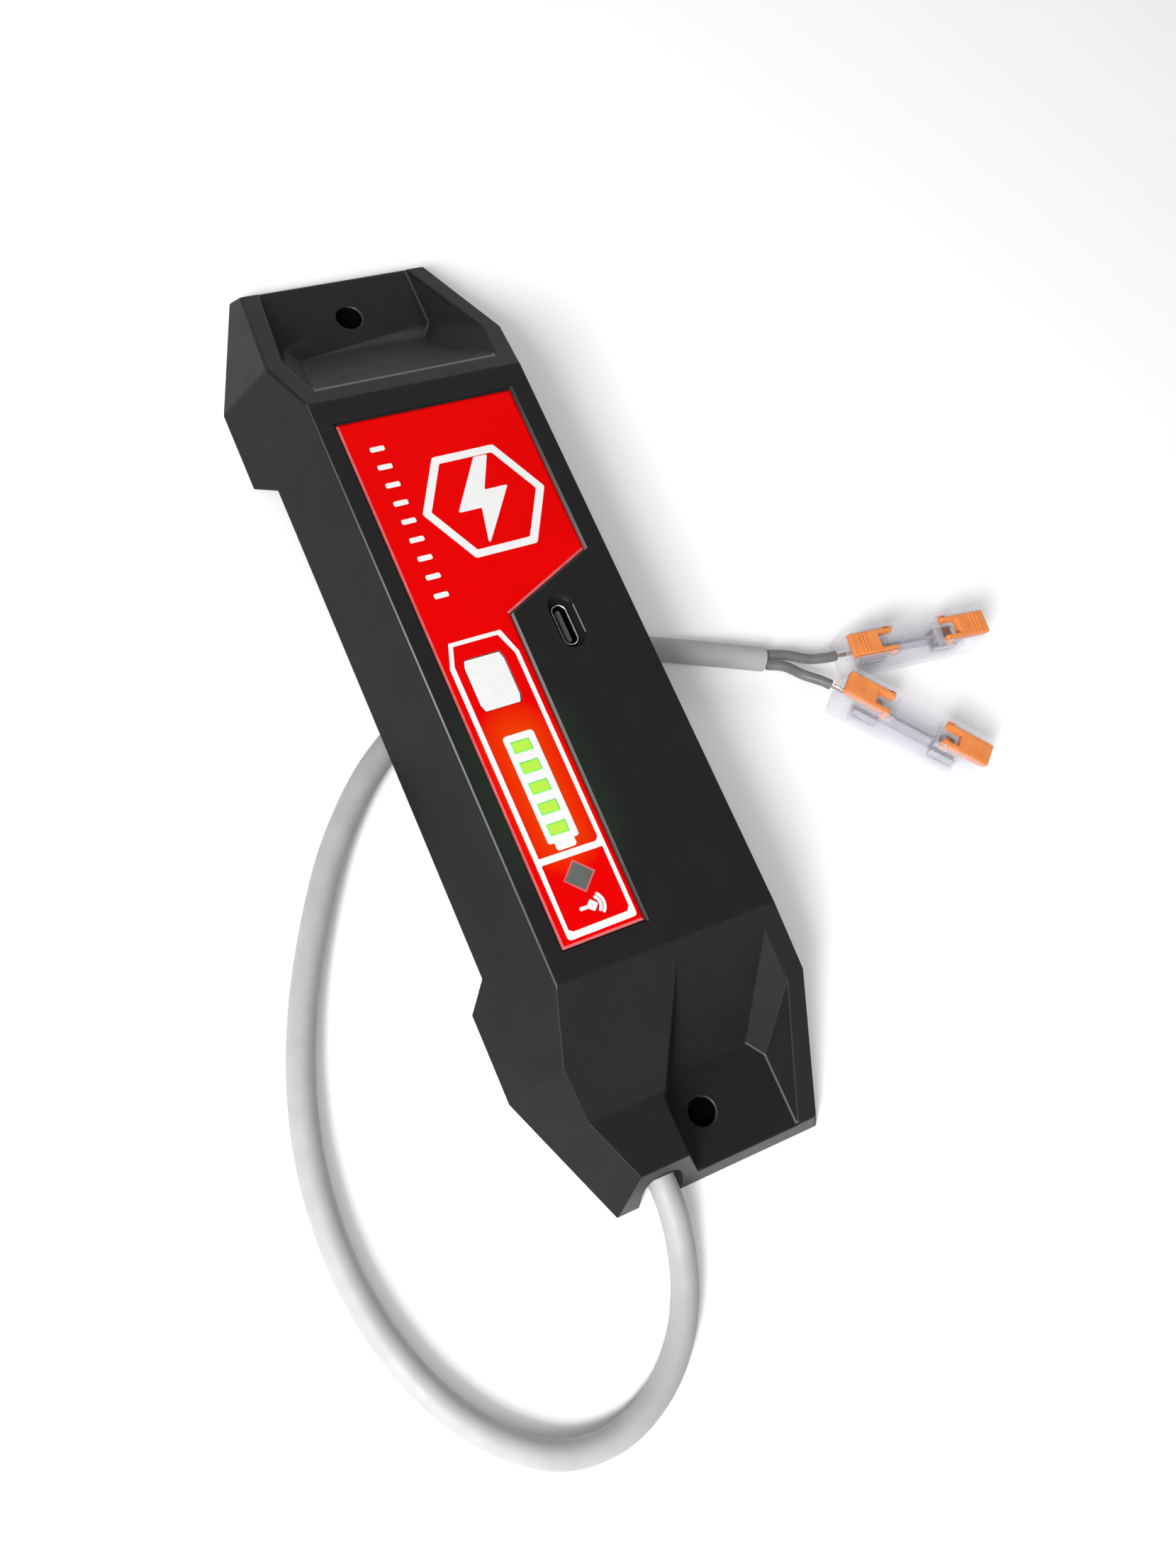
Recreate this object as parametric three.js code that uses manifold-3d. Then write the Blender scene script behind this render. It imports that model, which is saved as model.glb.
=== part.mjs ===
// Slim wall battery unit, lying on its back: a drafted plastic case with a screw recess at each
// end, a charge port and a membrane panel on the front, and a two-core output cable that runs
// under the case and ends in two inline lever splices.
// Millimetres. +Z is the front face's normal, +Y runs towards the upper end, and the origin is
// the middle of the case's back plane.

import * as THREE from "three";
import { mergeVertices } from "three/addons/utils/BufferGeometryUtils.js";
import { ConvexGeometry } from "three/addons/geometries/ConvexGeometry.js";
import Module from "manifold-3d";

const wasm = await Module();
wasm.setup();

// ---------- driving dimensions ----------
const CASE_HEIGHT = 21.5; // back plane to front face
const DRAFT = 0.4548; // sideways run of every outer wall per unit of height
const BASE_HALF_WIDTH = 23 + DRAFT * CASE_HEIGHT;
const BASE_HALF_LENGTH = 101.2;
const CHAMFER_START = 75.1; // |y| where the base's long side meets its corner chamfer
const CHAMFER_END = 22.2; // |x| where the chamfer meets the base's end
const FACE_HALF_LENGTH = 60.8; // |y| where the front face meets the end slopes
const END_SLOPE = 0.4475; // fall of the end slopes per unit of length
const WALL = 2.5;
const FRONT_WALL = 2.3;
const FIT = 0.3; // clearance between neighbouring pieces

const GAP_HEIGHT = 5.8; // clear height behind the middle of the case
const GAP_HALF_LENGTH = 52.6;
const FOOT_START = 57.3; // |y| where the feet touch the wall

const RECESS_FLOOR = 3.96; // height of both screw recess floors
const SCREW_HOLE_RADIUS = 2.75;
const SCREW_HOLE_Y = 90;
const BREAKOUT_WEB = 0.9; // closes each screw hole from behind until a screw is driven through

const BLOCK_TOP = 11.1; // top of the raised cable block
const BLOCK_WALL_X = -5.4; // foot of the block's inner side

const CAVITY_HALF_LENGTH = 60;
const LEDGE_HEIGHT = 9; // where the cover's seal presses
const COVER_TOP = 7.6;
const COVER_HALF_LENGTH = 50.2;

const PANEL_DEPTH = 0.8; // recess for the foil
const FOIL_TOP = CASE_HEIGHT - 0.4;
const FOIL_THICKNESS = 0.25;

const KEY = { x: -10.6, y: -3.6, width: 8.2, length: 10.7, chamfer: [0.5, 1.5], travel: 0.5 };
const SEGMENT = { x: -10.5, firstY: -17.3, pitch: 4.2, count: 5, width: 3.75, length: 2.25 };
const DIAMOND = { x: -10.5, y: -43.8, half: 3.2 };
const PORT = { x: 8.35, y: 3.7, width: 5.1, length: 11.3, depth: 1.6 };
const SHELL = { width: 3.26, length: 8.94, wall: 0.3 };

const BOARD = { xHalf: 18.5, low: -57, high: 13, bottom: 11.9, top: 13.5 };
const CELL = { halfWidth: 17, low: 16.5, high: 58, thickness: 4.6, bottom: 8.9 };

const CABLE = { x: -13.2, radius: 2.6, exitY: -99.4, exitZ: 4.9 };
const ARCH = { halfWidth: 4.05, top: 8.6 };
const CORE_RADIUS = 1.1;
const STRAND_RADIUS = 0.55;

const SPLICE = { length: 35.6, width: 8.1, height: 9.4 }; // height is from its base to its levers
const LEVER_PIVOT = 7.3; // distance of each lever's pin from the splice's middle

// ---------- materials ----------
function finish(color, roughness, metalness = 0) {
  return new THREE.MeshStandardMaterial({ color, roughness, metalness });
}

const blackPlastic = finish(0x262626, 0.55);
const whitePlastic = finish(0xf0f0ee, 0.45);
const redFoil = finish(0xeb0505, 0.4);
const greenLens = finish(0xb5f23b, 0.3);
const greyLens = finish(0x666963, 0.35);
const steel = finish(0xb8b8ba, 0.3, 1);
const darkResin = finish(0x1c1c1c, 0.5);
const boardLacquer = finish(0x14532d, 0.5);
const cellFoil = finish(0xa9b4bd, 0.35, 0.6);
const seal = finish(0x2b2b2b, 0.9);
const cableSheath = finish(0xc4c4c2, 0.6);
const coreGrey = finish(0x5f5f5f, 0.6);
const coreRed = finish(0xb01818, 0.6);
const copper = finish(0xb87333, 0.4, 1);
const clearPlastic = finish(0xe6ecf2, 0.1);
const leverOrange = finish(0xe0864a, 0.45);
const tin = finish(0x9c9ca2, 0.35, 1);
const ledResin = finish(0xe9f5c8, 0.4);

// ---------- solids ----------
// A closed three.js geometry as a solid that can be joined and cut.
function solid(geometry) {
  const bare = geometry.clone();
  bare.deleteAttribute("normal");
  bare.deleteAttribute("uv");
  const merged = mergeVertices(bare, 1e-4);
  const triVerts = new Uint32Array(merged.index.array);
  const vertProperties = new Float32Array(merged.attributes.position.array);
  return new wasm.Manifold(new wasm.Mesh({ numProp: 3, vertProperties, triVerts }));
}

function toGeometry(body) {
  const mesh = body.getMesh();
  const geometry = new THREE.BufferGeometry();
  geometry.setAttribute("position", new THREE.BufferAttribute(mesh.vertProperties, 3));
  geometry.setIndex(new THREE.BufferAttribute(mesh.triVerts, 1));
  geometry.computeVertexNormals();
  return geometry;
}

function join(...bodies) {
  return bodies.reduce((whole, body) => whole.add(body));
}

function box([x0, x1], [y0, y1], [z0, z1]) {
  const geometry = new THREE.BoxGeometry(x1 - x0, y1 - y0, z1 - z0);
  geometry.translate((x0 + x1) / 2, (y0 + y1) / 2, (z0 + z1) / 2);
  return solid(geometry);
}

function shapeOf(points) {
  return new THREE.Shape(points.map(([x, y]) => new THREE.Vector2(x, y)));
}

// An outline in XY raised from z0 to z1.
function prism(points, z0, z1) {
  const geometry = new THREE.ExtrudeGeometry(shapeOf(points), { depth: z1 - z0, bevelEnabled: false });
  geometry.translate(0, 0, z0);
  return solid(geometry);
}

// An outline in YZ carried along X.
function crossPrism(points, x0, x1) {
  const geometry = new THREE.ExtrudeGeometry(shapeOf(points), { depth: x1 - x0, bevelEnabled: false });
  geometry.rotateZ(Math.PI / 2);
  geometry.rotateY(Math.PI / 2);
  geometry.translate(x0, 0, 0);
  return solid(geometry);
}

// An outline in XZ carried along Y.
function lengthPrism(points, y0, y1) {
  const geometry = new THREE.ExtrudeGeometry(shapeOf(points), { depth: y1 - y0, bevelEnabled: false });
  geometry.rotateX(Math.PI / 2);
  geometry.translate(0, y1, 0);
  return solid(geometry);
}

function hull(points) {
  return solid(new ConvexGeometry(points.map(([x, y, z]) => new THREE.Vector3(x, y, z))));
}

function cylinder(x, y, radius, z0, z1, sides = 16) {
  const geometry = new THREE.CylinderGeometry(radius, radius, z1 - z0, sides);
  geometry.rotateX(Math.PI / 2);
  geometry.translate(x, y, (z0 + z1) / 2);
  return solid(geometry);
}

// A stadium: a slot outline with round ends, long along Y.
function stadium(x, y, width, length, arcSteps = 8) {
  const radius = width / 2;
  const reach = length / 2 - radius;
  const points = [];
  for (const side of [1, -1]) {
    for (let step = 0; step <= arcSteps; step++) {
      const angle = Math.PI * (step / arcSteps) + (side < 0 ? Math.PI : 0);
      points.push([x + radius * Math.cos(angle), y + side * reach + radius * Math.sin(angle)]);
    }
  }
  return points;
}

// A rectangle round a middle point, with its corners cut by [along x, along y].
function chamferedRectangle(x, y, width, length, [cutX, cutY] = [0, 0]) {
  const halfX = width / 2;
  const halfY = length / 2;
  const corners = [
    [halfX, -halfY + cutY], [halfX, halfY - cutY], [halfX - cutX, halfY], [-halfX + cutX, halfY],
    [-halfX, halfY - cutY], [-halfX, -halfY + cutY], [-halfX + cutX, -halfY], [halfX - cutX, -halfY],
  ];
  const square = [[halfX, -halfY], [halfX, halfY], [-halfX, halfY], [-halfX, -halfY]];
  return (cutX ? corners : square).map(([dx, dy]) => [x + dx, y + dy]);
}

// Where two lines cross, each given by its unit normal and its distance from the origin.
function crossing([ax, ay, a], [bx, by, b]) {
  const det = ax * by - ay * bx;
  return [(a * by - b * ay) / det, (ax * b - bx * a) / det];
}

// A counter-clockwise outline moved outwards by a distance, edge by edge.
function grow(points, distance) {
  const lines = points.map(([x0, y0], i) => {
    const [x1, y1] = points[(i + 1) % points.length];
    const length = Math.hypot(x1 - x0, y1 - y0);
    const normal = [(y1 - y0) / length, (x0 - x1) / length];
    return [...normal, normal[0] * x0 + normal[1] * y0 + distance];
  });
  return lines.map((line, i) => crossing(lines[(i + lines.length - 1) % lines.length], line));
}

// A tube along a smooth curve through the points.
function tube(points, radius, steps, sides = 10) {
  const curve = new THREE.CatmullRomCurve3(points.map(([x, y, z]) => new THREE.Vector3(x, y, z)));
  const ring = [];
  for (let side = 0; side < sides; side++) {
    const angle = (2 * Math.PI * (side + 0.5)) / sides;
    ring.push([radius * Math.cos(angle), radius * Math.sin(angle)]);
  }
  return new THREE.ExtrudeGeometry(shapeOf(ring), { steps, extrudePath: curve });
}

function part(name, body, material) {
  const mesh = new THREE.Mesh(body.isBufferGeometry ? body : toGeometry(body), material);
  mesh.name = name;
  return mesh;
}

// ---------- case ----------
// The case's outline at one height, moved inwards by an inset.
function caseOutline(height, inset = 0) {
  const shift = DRAFT * height + inset;
  const runX = BASE_HALF_WIDTH - CHAMFER_END;
  const runY = BASE_HALF_LENGTH - CHAMFER_START;
  const length = Math.hypot(runX, runY);
  const normal = [runY / length, runX / length];
  const chamfer = normal[0] * BASE_HALF_WIDTH + normal[1] * CHAMFER_START - shift;
  const side = crossing([1, 0, BASE_HALF_WIDTH - shift], [...normal, chamfer]);
  const end = crossing([0, 1, BASE_HALF_LENGTH - shift], [...normal, chamfer]);
  const quarter = [side, end];
  const mirrored = quarter.map(([x, y]) => [-x, y]).reverse();
  const upper = [...quarter, ...mirrored];
  return [...upper, ...upper.map(([x, y]) => [-x, -y])];
}

function atHeight(points, z) {
  return points.map(([x, y]) => [x, y, z]);
}

// A hollow whose walls each lean outwards at their own slope, open upwards.
function leaningPocket(walls, floor, top) {
  const section = (height) => {
    const lines = walls.map(({ point, normal, slope }) => {
      const length = Math.hypot(...normal);
      const [nx, ny] = [normal[0] / length, normal[1] / length];
      return [nx, ny, nx * point[0] + ny * point[1] + slope * (height - floor)];
    });
    return lines.map((line, i) => crossing(lines[(i + lines.length - 1) % lines.length], line));
  };
  return hull([...atHeight(section(floor), floor), ...atHeight(section(top), top)]);
}

const SIDE_LEAN = 0.4645;
const CORNER_LEAN = 0.945;
const BACK_LEAN = 1.077;
const RECESS_SIDE = { x: 16.6, y: 85.3 };
const RECESS_BACK = { x: 13.8, y: 81.6 };
const PAST_THE_END = 120;

function upperRecess() {
  const cornerNormal = [RECESS_SIDE.y - RECESS_BACK.y, RECESS_BACK.x - RECESS_SIDE.x];
  return leaningPocket(
    [
      { point: [0, RECESS_BACK.y], normal: [0, -1], slope: BACK_LEAN },
      { point: [RECESS_BACK.x, RECESS_BACK.y], normal: cornerNormal, slope: CORNER_LEAN },
      { point: [RECESS_SIDE.x, 90], normal: [1, 0], slope: SIDE_LEAN },
      { point: [0, PAST_THE_END], normal: [0, 1], slope: 0 },
      { point: [-RECESS_SIDE.x, 90], normal: [-1, 0], slope: SIDE_LEAN },
      {
        point: [-RECESS_BACK.x, RECESS_BACK.y],
        normal: [-cornerNormal[0], cornerNormal[1]],
        slope: CORNER_LEAN,
      },
    ],
    RECESS_FLOOR,
    CASE_HEIGHT + 1,
  );
}

// The lower recess has the same right half, and its left wall is the cable block's side.
function lowerRecess() {
  const cornerNormal = [RECESS_SIDE.y - RECESS_BACK.y, RECESS_SIDE.x - RECESS_BACK.x];
  return leaningPocket(
    [
      { point: [0, -RECESS_BACK.y], normal: [0, 1], slope: BACK_LEAN },
      { point: [BLOCK_WALL_X, -86.1], normal: [-0.826, 0.5635], slope: DRAFT },
      { point: [BLOCK_WALL_X, -90], normal: [-1, 0], slope: DRAFT },
      { point: [0, -PAST_THE_END], normal: [0, -1], slope: 0 },
      { point: [RECESS_SIDE.x, -90], normal: [1, 0], slope: SIDE_LEAN },
      { point: [RECESS_BACK.x, -RECESS_BACK.y], normal: cornerNormal, slope: CORNER_LEAN },
    ],
    RECESS_FLOOR,
    CASE_HEIGHT + 1,
  );
}

// Everything above one end slope.
function aboveSlope(direction) {
  const run = 50;
  const outline = [
    [FACE_HALF_LENGTH, CASE_HEIGHT],
    [FACE_HALF_LENGTH + run, CASE_HEIGHT - END_SLOPE * run],
    [FACE_HALF_LENGTH + run, CASE_HEIGHT + 5],
    [FACE_HALF_LENGTH, CASE_HEIGHT + 5],
  ];
  const upper = crossPrism(outline, -50, 50);
  return direction > 0 ? upper : upper.rotate([0, 0, 180]);
}

// The room behind the middle of the case, with slanted ends.
function rearGap() {
  return crossPrism(
    [[-FOOT_START, -1], [FOOT_START, -1], [FOOT_START, 0], [GAP_HALF_LENGTH, GAP_HEIGHT],
      [-GAP_HALF_LENGTH, GAP_HEIGHT], [-FOOT_START, 0]],
    -50, 50,
  );
}

function archOutline(clearance, bottom) {
  const half = ARCH.halfWidth - clearance;
  const springing = ARCH.top - ARCH.halfWidth;
  const points = [[CABLE.x - half, bottom], [CABLE.x + half, bottom]];
  for (let step = 0; step <= 8; step++) {
    const angle = (Math.PI * step) / 8;
    points.push([CABLE.x + half * Math.cos(angle), springing + half * Math.sin(angle)]);
  }
  return points;
}

const SIDE_WALL_RUN = WALL * 1.1; // a drafted wall's thickness measured level
const innerHalfWidth = (height) => BASE_HALF_WIDTH - DRAFT * height - SIDE_WALL_RUN;
const CAVITY_TOP = CASE_HEIGHT - FRONT_WALL;

function boxHull(lowHalfWidth, highHalfWidth, halfLength, z0, z1) {
  const ring = (half, z) => atHeight(chamferedRectangle(0, 0, 2 * half, 2 * halfLength), z);
  return hull([...ring(lowHalfWidth, z0), ...ring(highHalfWidth, z1)]);
}

const COVER_SCREWS = [[-21.6, -46], [21.6, -46], [-22.4, 3], [22.4, 3], [-21.6, 46], [21.6, 46]];
const BOARD_SCREWS = [[15.8, -53.5], [-16.2, -40.6], [-15.8, 10], [15.8, 10]];
const CLAMP_SCREWS = [[CABLE.x - 6.6, -80], [CABLE.x + 6.6, -80]];
const CLAMP = { halfWidth: 9.6, low: -82.6, high: -77.4, bottom: 1, top: 2.5, screwHole: 1.4 };
const CABLE_WELL = { low: -68.6, halfWidth: 4.4, top: 16 }; // lets the cores rise to the board
const CORE = { halfWidth: 4.6, low: 62.5, high: 77, depth: 6 };
const UPPER_CORES = [-19, -6.6, 6.6, 19]; // x of each pocket behind the upper foot
const LOWER_CORES = [5, 19]; // the cable and its clamp take the rest of the lower foot

// The row of coring pockets behind the deep part of each foot.
function footCores() {
  const pocket = (x, y) => box([x - CORE.halfWidth, x + CORE.halfWidth], y, [-1, CORE.depth]);
  return [
    ...UPPER_CORES.map((x) => pocket(x, [CORE.low, CORE.high])),
    ...LOWER_CORES.map((x) => pocket(x, [-CORE.high, -CORE.low])),
  ];
}

const foilOutline = [
  [-19.1, -55.3], [-2.3, -55.3], [-1.8, 8.5], [18.5, 17.5], [18.5, 55.2], [-19.1, 55.2],
];
const diamondOutline = (half) => [
  [DIAMOND.x + half, DIAMOND.y], [DIAMOND.x, DIAMOND.y + half],
  [DIAMOND.x - half, DIAMOND.y], [DIAMOND.x, DIAMOND.y - half],
];
const segmentY = (i) => SEGMENT.firstY - i * SEGMENT.pitch;
const segmentOutline = (i, room) =>
  chamferedRectangle(SEGMENT.x, segmentY(i), SEGMENT.width + 2 * room, SEGMENT.length + 2 * room);
const keyOutline = (room) =>
  chamferedRectangle(KEY.x, KEY.y, KEY.width + 2 * room, KEY.length + 2 * room, KEY.chamfer);
const segments = [...Array(SEGMENT.count).keys()];

function frontHousing() {
  let body = hull([...atHeight(caseOutline(0), 0), ...atHeight(caseOutline(CASE_HEIGHT), CASE_HEIGHT)]);
  const block = box([-40, 0], [-110, -70], [-1, BLOCK_TOP]); // the lower recess trims its inner side
  body = body.subtract(aboveSlope(1)).subtract(aboveSlope(-1).subtract(block));
  body = body.subtract(upperRecess()).subtract(lowerRecess()).subtract(rearGap());

  const opening = boxHull(innerHalfWidth(GAP_HEIGHT), innerHalfWidth(LEDGE_HEIGHT) + 1.5,
    COVER_HALF_LENGTH + FIT, GAP_HEIGHT - 1, LEDGE_HEIGHT);
  const cavity = boxHull(innerHalfWidth(LEDGE_HEIGHT), innerHalfWidth(CAVITY_TOP),
    CAVITY_HALF_LENGTH, LEDGE_HEIGHT - 0.5, CAVITY_TOP);
  const bosses = COVER_SCREWS.map(([x, y]) => cylinder(x, y, 2.7, COVER_TOP + FIT, CASE_HEIGHT - 1));
  const posts = BOARD_SCREWS.map(([x, y]) => cylinder(x, y, 2, BOARD.top + FIT, CASE_HEIGHT - 1));
  const pillars = join(...bosses, ...posts);
  body = body.subtract(opening).subtract(cavity.subtract(pillars));

  const cuts = [
    ...COVER_SCREWS.map(([x, y]) => cylinder(x, y, 1.5, 0, 16)),
    ...BOARD_SCREWS.map(([x, y]) => cylinder(x, y, 1.2, 12, 18)),
    ...CLAMP_SCREWS.map(([x, y]) => cylinder(x, y, 1.2, -1, 8.2)),
    ...[1, -1].map((end) => cylinder(0, end * SCREW_HOLE_Y, SCREW_HOLE_RADIUS, BREAKOUT_WEB, 10, 32)),
    ...footCores(),
    lengthPrism(archOutline(0, -1), -110, -64),
    box([CABLE.x - CABLE_WELL.halfWidth, CABLE.x + CABLE_WELL.halfWidth],
      [CABLE_WELL.low, -CAVITY_HALF_LENGTH + 0.5], [-1, CABLE_WELL.top]),
    box([CABLE.x - CLAMP.halfWidth - FIT, CABLE.x + CLAMP.halfWidth + FIT],
      [CLAMP.low - FIT, CLAMP.high + FIT], [-1, CLAMP.top + FIT]),
    prism(grow(foilOutline, 0.35), CASE_HEIGHT - PANEL_DEPTH, CASE_HEIGHT + 1),
    prism(keyOutline(0.2), 15, CASE_HEIGHT),
    prism(diamondOutline(DIAMOND.half + 0.3), 15, CASE_HEIGHT),
    ...segments.map((i) => prism(segmentOutline(i, 0.2), 15, CASE_HEIGHT)),
    prism(stadium(PORT.x, PORT.y, PORT.width, PORT.length, 10), CASE_HEIGHT - PORT.depth, CASE_HEIGHT + 1),
    prism(stadium(PORT.x, PORT.y, SHELL.width + 2 * FIT, SHELL.length + 2 * FIT), 15, CASE_HEIGHT),
  ];
  return cuts.reduce((left, cut) => left.subtract(cut), body);
}

function backCover() {
  const low = innerHalfWidth(GAP_HEIGHT) - FIT;
  const high = innerHalfWidth(COVER_TOP) - FIT;
  const plate = boxHull(low, high, COVER_HALF_LENGTH, GAP_HEIGHT, COVER_TOP);
  const headSeats = COVER_SCREWS.map(([x, y]) => cylinder(x, y, 2.6, GAP_HEIGHT - 1, GAP_HEIGHT + 0.9));
  const holes = COVER_SCREWS.map(([x, y]) => cylinder(x, y, 1.6, GAP_HEIGHT - 1, COVER_TOP + 1));
  return [...headSeats, ...holes].reduce((left, cut) => left.subtract(cut), plate);
}

function coverSeal() {
  const middle = (LEDGE_HEIGHT + COVER_TOP) / 2;
  const width = 2 * innerHalfWidth(LEDGE_HEIGHT);
  const outer = prism(chamferedRectangle(0, 0, width + 2.2, 99.6), middle - 0.4, middle + 0.4);
  const inner = prism(chamferedRectangle(0, 0, width + 0.2, 97.2), middle - 1, middle + 1);
  const reliefs = COVER_SCREWS.map(([x, y]) => cylinder(x, y, 2.7 + FIT, middle - 1, middle + 1));
  return reliefs.reduce((left, cut) => left.subtract(cut), outer.subtract(inner));
}

// ---------- front panel ----------
function labelFoil() {
  let foil = prism(foilOutline, FOIL_TOP - FOIL_THICKNESS, FOIL_TOP);
  const openings = [
    prism(keyOutline(0.15), 15, CASE_HEIGHT),
    prism(diamondOutline(DIAMOND.half + 0.15), 15, CASE_HEIGHT),
    ...segments.map((i) => prism(segmentOutline(i, 0.1), 15, CASE_HEIGHT)),
  ];
  for (const opening of openings) foil = foil.subtract(opening);
  return foil;
}

const KEY_FLANGE_TOP = CAVITY_TOP - FIT;
const KEY_FLANGE_BOTTOM = KEY_FLANGE_TOP - 0.8;

function testKey() {
  const flange = prism(keyOutline(1.1), KEY_FLANGE_BOTTOM, KEY_FLANGE_TOP);
  const cap = prism(keyOutline(0), KEY_FLANGE_TOP - 0.1, FOIL_TOP);
  return flange.add(cap);
}

const PLUNGER = { radius: 1.6, bottom: 15.4, top: KEY_FLANGE_BOTTOM - FIT, room: KEY.travel + 0.4 };

function switchBody() {
  const body = box([KEY.x - 3, KEY.x + 3], [KEY.y - 3, KEY.y + 3], [BOARD.top + FIT, 17]);
  const well = cylinder(KEY.x, KEY.y, PLUNGER.radius + FIT, PLUNGER.bottom - PLUNGER.room, 20);
  return body.subtract(well);
}

function switchPlunger() {
  return cylinder(KEY.x, KEY.y, PLUNGER.radius, PLUNGER.bottom, PLUNGER.top);
}

// Five bosses on one plate carry the light up to the foil's windows.
function gaugeLightPipe() {
  const reach = (SEGMENT.count - 1) * SEGMENT.pitch;
  const plateTop = CAVITY_TOP - FIT;
  const plate = prism(
    chamferedRectangle(SEGMENT.x, SEGMENT.firstY - reach / 2, 7.4, reach + 5.6), plateTop - 0.8, plateTop);
  const bosses = segments.map((i) => prism(segmentOutline(i, 0), plateTop - 0.1, FOIL_TOP));
  return join(plate, ...bosses);
}

function lightShroud() {
  const reach = (SEGMENT.count - 1) * SEGMENT.pitch;
  const middleY = SEGMENT.firstY - reach / 2;
  const block = prism(chamferedRectangle(SEGMENT.x, middleY, 7.4, reach + 5.6), BOARD.top + FIT, 17.7);
  const chambers = segments.map((i) => prism(segmentOutline(i, 0.4), BOARD.top, 18));
  return chambers.reduce((left, cut) => left.subtract(cut), block);
}

function led(x, y) {
  return box([x - 0.8, x + 0.8], [y - 0.6, y + 0.6], [BOARD.top + FIT, BOARD.top + FIT + 0.7]);
}

function statusLens() {
  const plateTop = CAVITY_TOP - FIT;
  const plate = prism(diamondOutline(DIAMOND.half + 1.3), plateTop - 0.8, plateTop);
  return plate.add(prism(diamondOutline(DIAMOND.half), plateTop - 0.1, FOIL_TOP));
}

// ---------- charge port ----------
const PORT_MOUTH = CASE_HEIGHT - PORT.depth;

function portShell() {
  const outer = prism(stadium(PORT.x, PORT.y, SHELL.width, SHELL.length), BOARD.top + FIT, PORT_MOUTH);
  const inner = stadium(PORT.x, PORT.y, SHELL.width - 2 * SHELL.wall, SHELL.length - 2 * SHELL.wall);
  return outer.subtract(prism(inner, BOARD.top + FIT + 0.6, PORT_MOUTH + 1));
}

function portTongue() {
  const floor = BOARD.top + FIT + 0.6 + FIT;
  const base = prism(stadium(PORT.x, PORT.y, 1.9, 7.6), floor, floor + 1);
  const blade = box([PORT.x - 0.35, PORT.x + 0.35], [PORT.y - 3.35, PORT.y + 3.35],
    [floor + 0.5, PORT_MOUTH - 0.7]);
  return base.add(blade);
}

// ---------- electronics and cells ----------
function circuitBoard() {
  const plate = box([-BOARD.xHalf, BOARD.xHalf], [BOARD.low, BOARD.high], [BOARD.bottom, BOARD.top]);
  return BOARD_SCREWS.reduce((left, [x, y]) => left.subtract(cylinder(x, y, 1.3, 10, 15)), plate);
}

const RADIO = { low: [0.5, -49], high: [14.5, -31], canLow: [1.5, -43], canHigh: [13.5, -32] };

// A small carrier board with a shielding can over all but its aerial end.
function radioModule() {
  const { low, high, canLow, canHigh } = RADIO;
  const floor = BOARD.top + FIT;
  const carrier = box([low[0], high[0]], [low[1], high[1]], [floor, floor + 0.8]);
  return carrier.add(box([canLow[0], canHigh[0]], [canLow[1], canHigh[1]], [floor + 0.7, floor + 2.6]));
}

const TERMINAL = { low: -55.5, high: -48.5, top: 18.7, pitch: 3.8, coreZ: 16 };
const terminalX = (i) => CABLE.x + (i - 0.5) * TERMINAL.pitch;

function terminalBlock() {
  const body = box([CABLE.x - 3.9, CABLE.x + 3.9], [TERMINAL.low, TERMINAL.high],
    [BOARD.top + FIT, TERMINAL.top]);
  const entries = [0, 1].map((i) => box([terminalX(i) - 1.45, terminalX(i) + 1.45],
    [TERMINAL.low - 1, TERMINAL.low + 3.4], [TERMINAL.coreZ - 1.45, TERMINAL.coreZ + 1.45]));
  return entries.reduce((left, cut) => left.subtract(cut), body);
}

const PAD = { halfWidth: 16, low: 18, high: 48 };
const PROTECTION = { halfWidth: 10, low: 14.3, high: 15.3, bottom: 9.5, top: 18 };
const PLUG = { y: 7.2, halfWidth: 3.2, halfLength: 2.4, top: 18 };

function cell(layer) {
  const bottom = CELL.bottom + layer * (CELL.thickness + 0.4);
  const middleY = (CELL.low + CELL.high) / 2;
  const outline = chamferedRectangle(0, middleY, 2 * CELL.halfWidth, CELL.high - CELL.low, [1, 1]);
  return prism(outline, bottom, bottom + CELL.thickness);
}

// The foam pad that holds the lower cell off the back cover.
function cellPad() {
  return box([-PAD.halfWidth, PAD.halfWidth], [PAD.low, PAD.high], [COVER_TOP + FIT, CELL.bottom - FIT]);
}

function protectionBoard() {
  const { halfWidth, low, high, bottom, top } = PROTECTION;
  return box([-halfWidth, halfWidth], [low, high], [bottom, top]);
}

function batteryPlug() {
  const { y, halfWidth, halfLength, top } = PLUG;
  return box([-halfWidth, halfWidth], [y - halfLength, y + halfLength], [BOARD.top + FIT, top]);
}

function batteryLead(x) {
  const start = [x, PROTECTION.low - FIT, 17];
  const path = [start, [x, 12.8, 17.5], [x, 11.6, 17.2], [x, PLUG.y + PLUG.halfLength + FIT, 16.4]];
  return tube(path, 0.55, 8, 8);
}

// ---------- fasteners ----------
function screw(x, y, head, shank) {
  const profile = [
    [0, head.bottom], [head.radius * 0.8, head.bottom], [head.radius, head.bottom + 0.25],
    [head.radius, head.top], [shank.radius, head.top], [shank.radius, shank.tip - 0.6], [0, shank.tip],
  ].map(([r, z]) => new THREE.Vector2(r, z));
  const turned = new THREE.LatheGeometry(profile, 14);
  turned.rotateX(Math.PI / 2);
  turned.translate(x, y, 0);
  const arm = head.radius * 0.55;
  const depth = (head.top - head.bottom) * 0.6;
  const slotZ = [head.bottom - 1, head.bottom + depth];
  const cross = join(
    box([x - arm, x + arm], [y - 0.25, y + 0.25], slotZ),
    box([x - 0.25, x + 0.25], [y - arm, y + arm], slotZ),
  );
  return solid(turned).subtract(cross);
}

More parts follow.
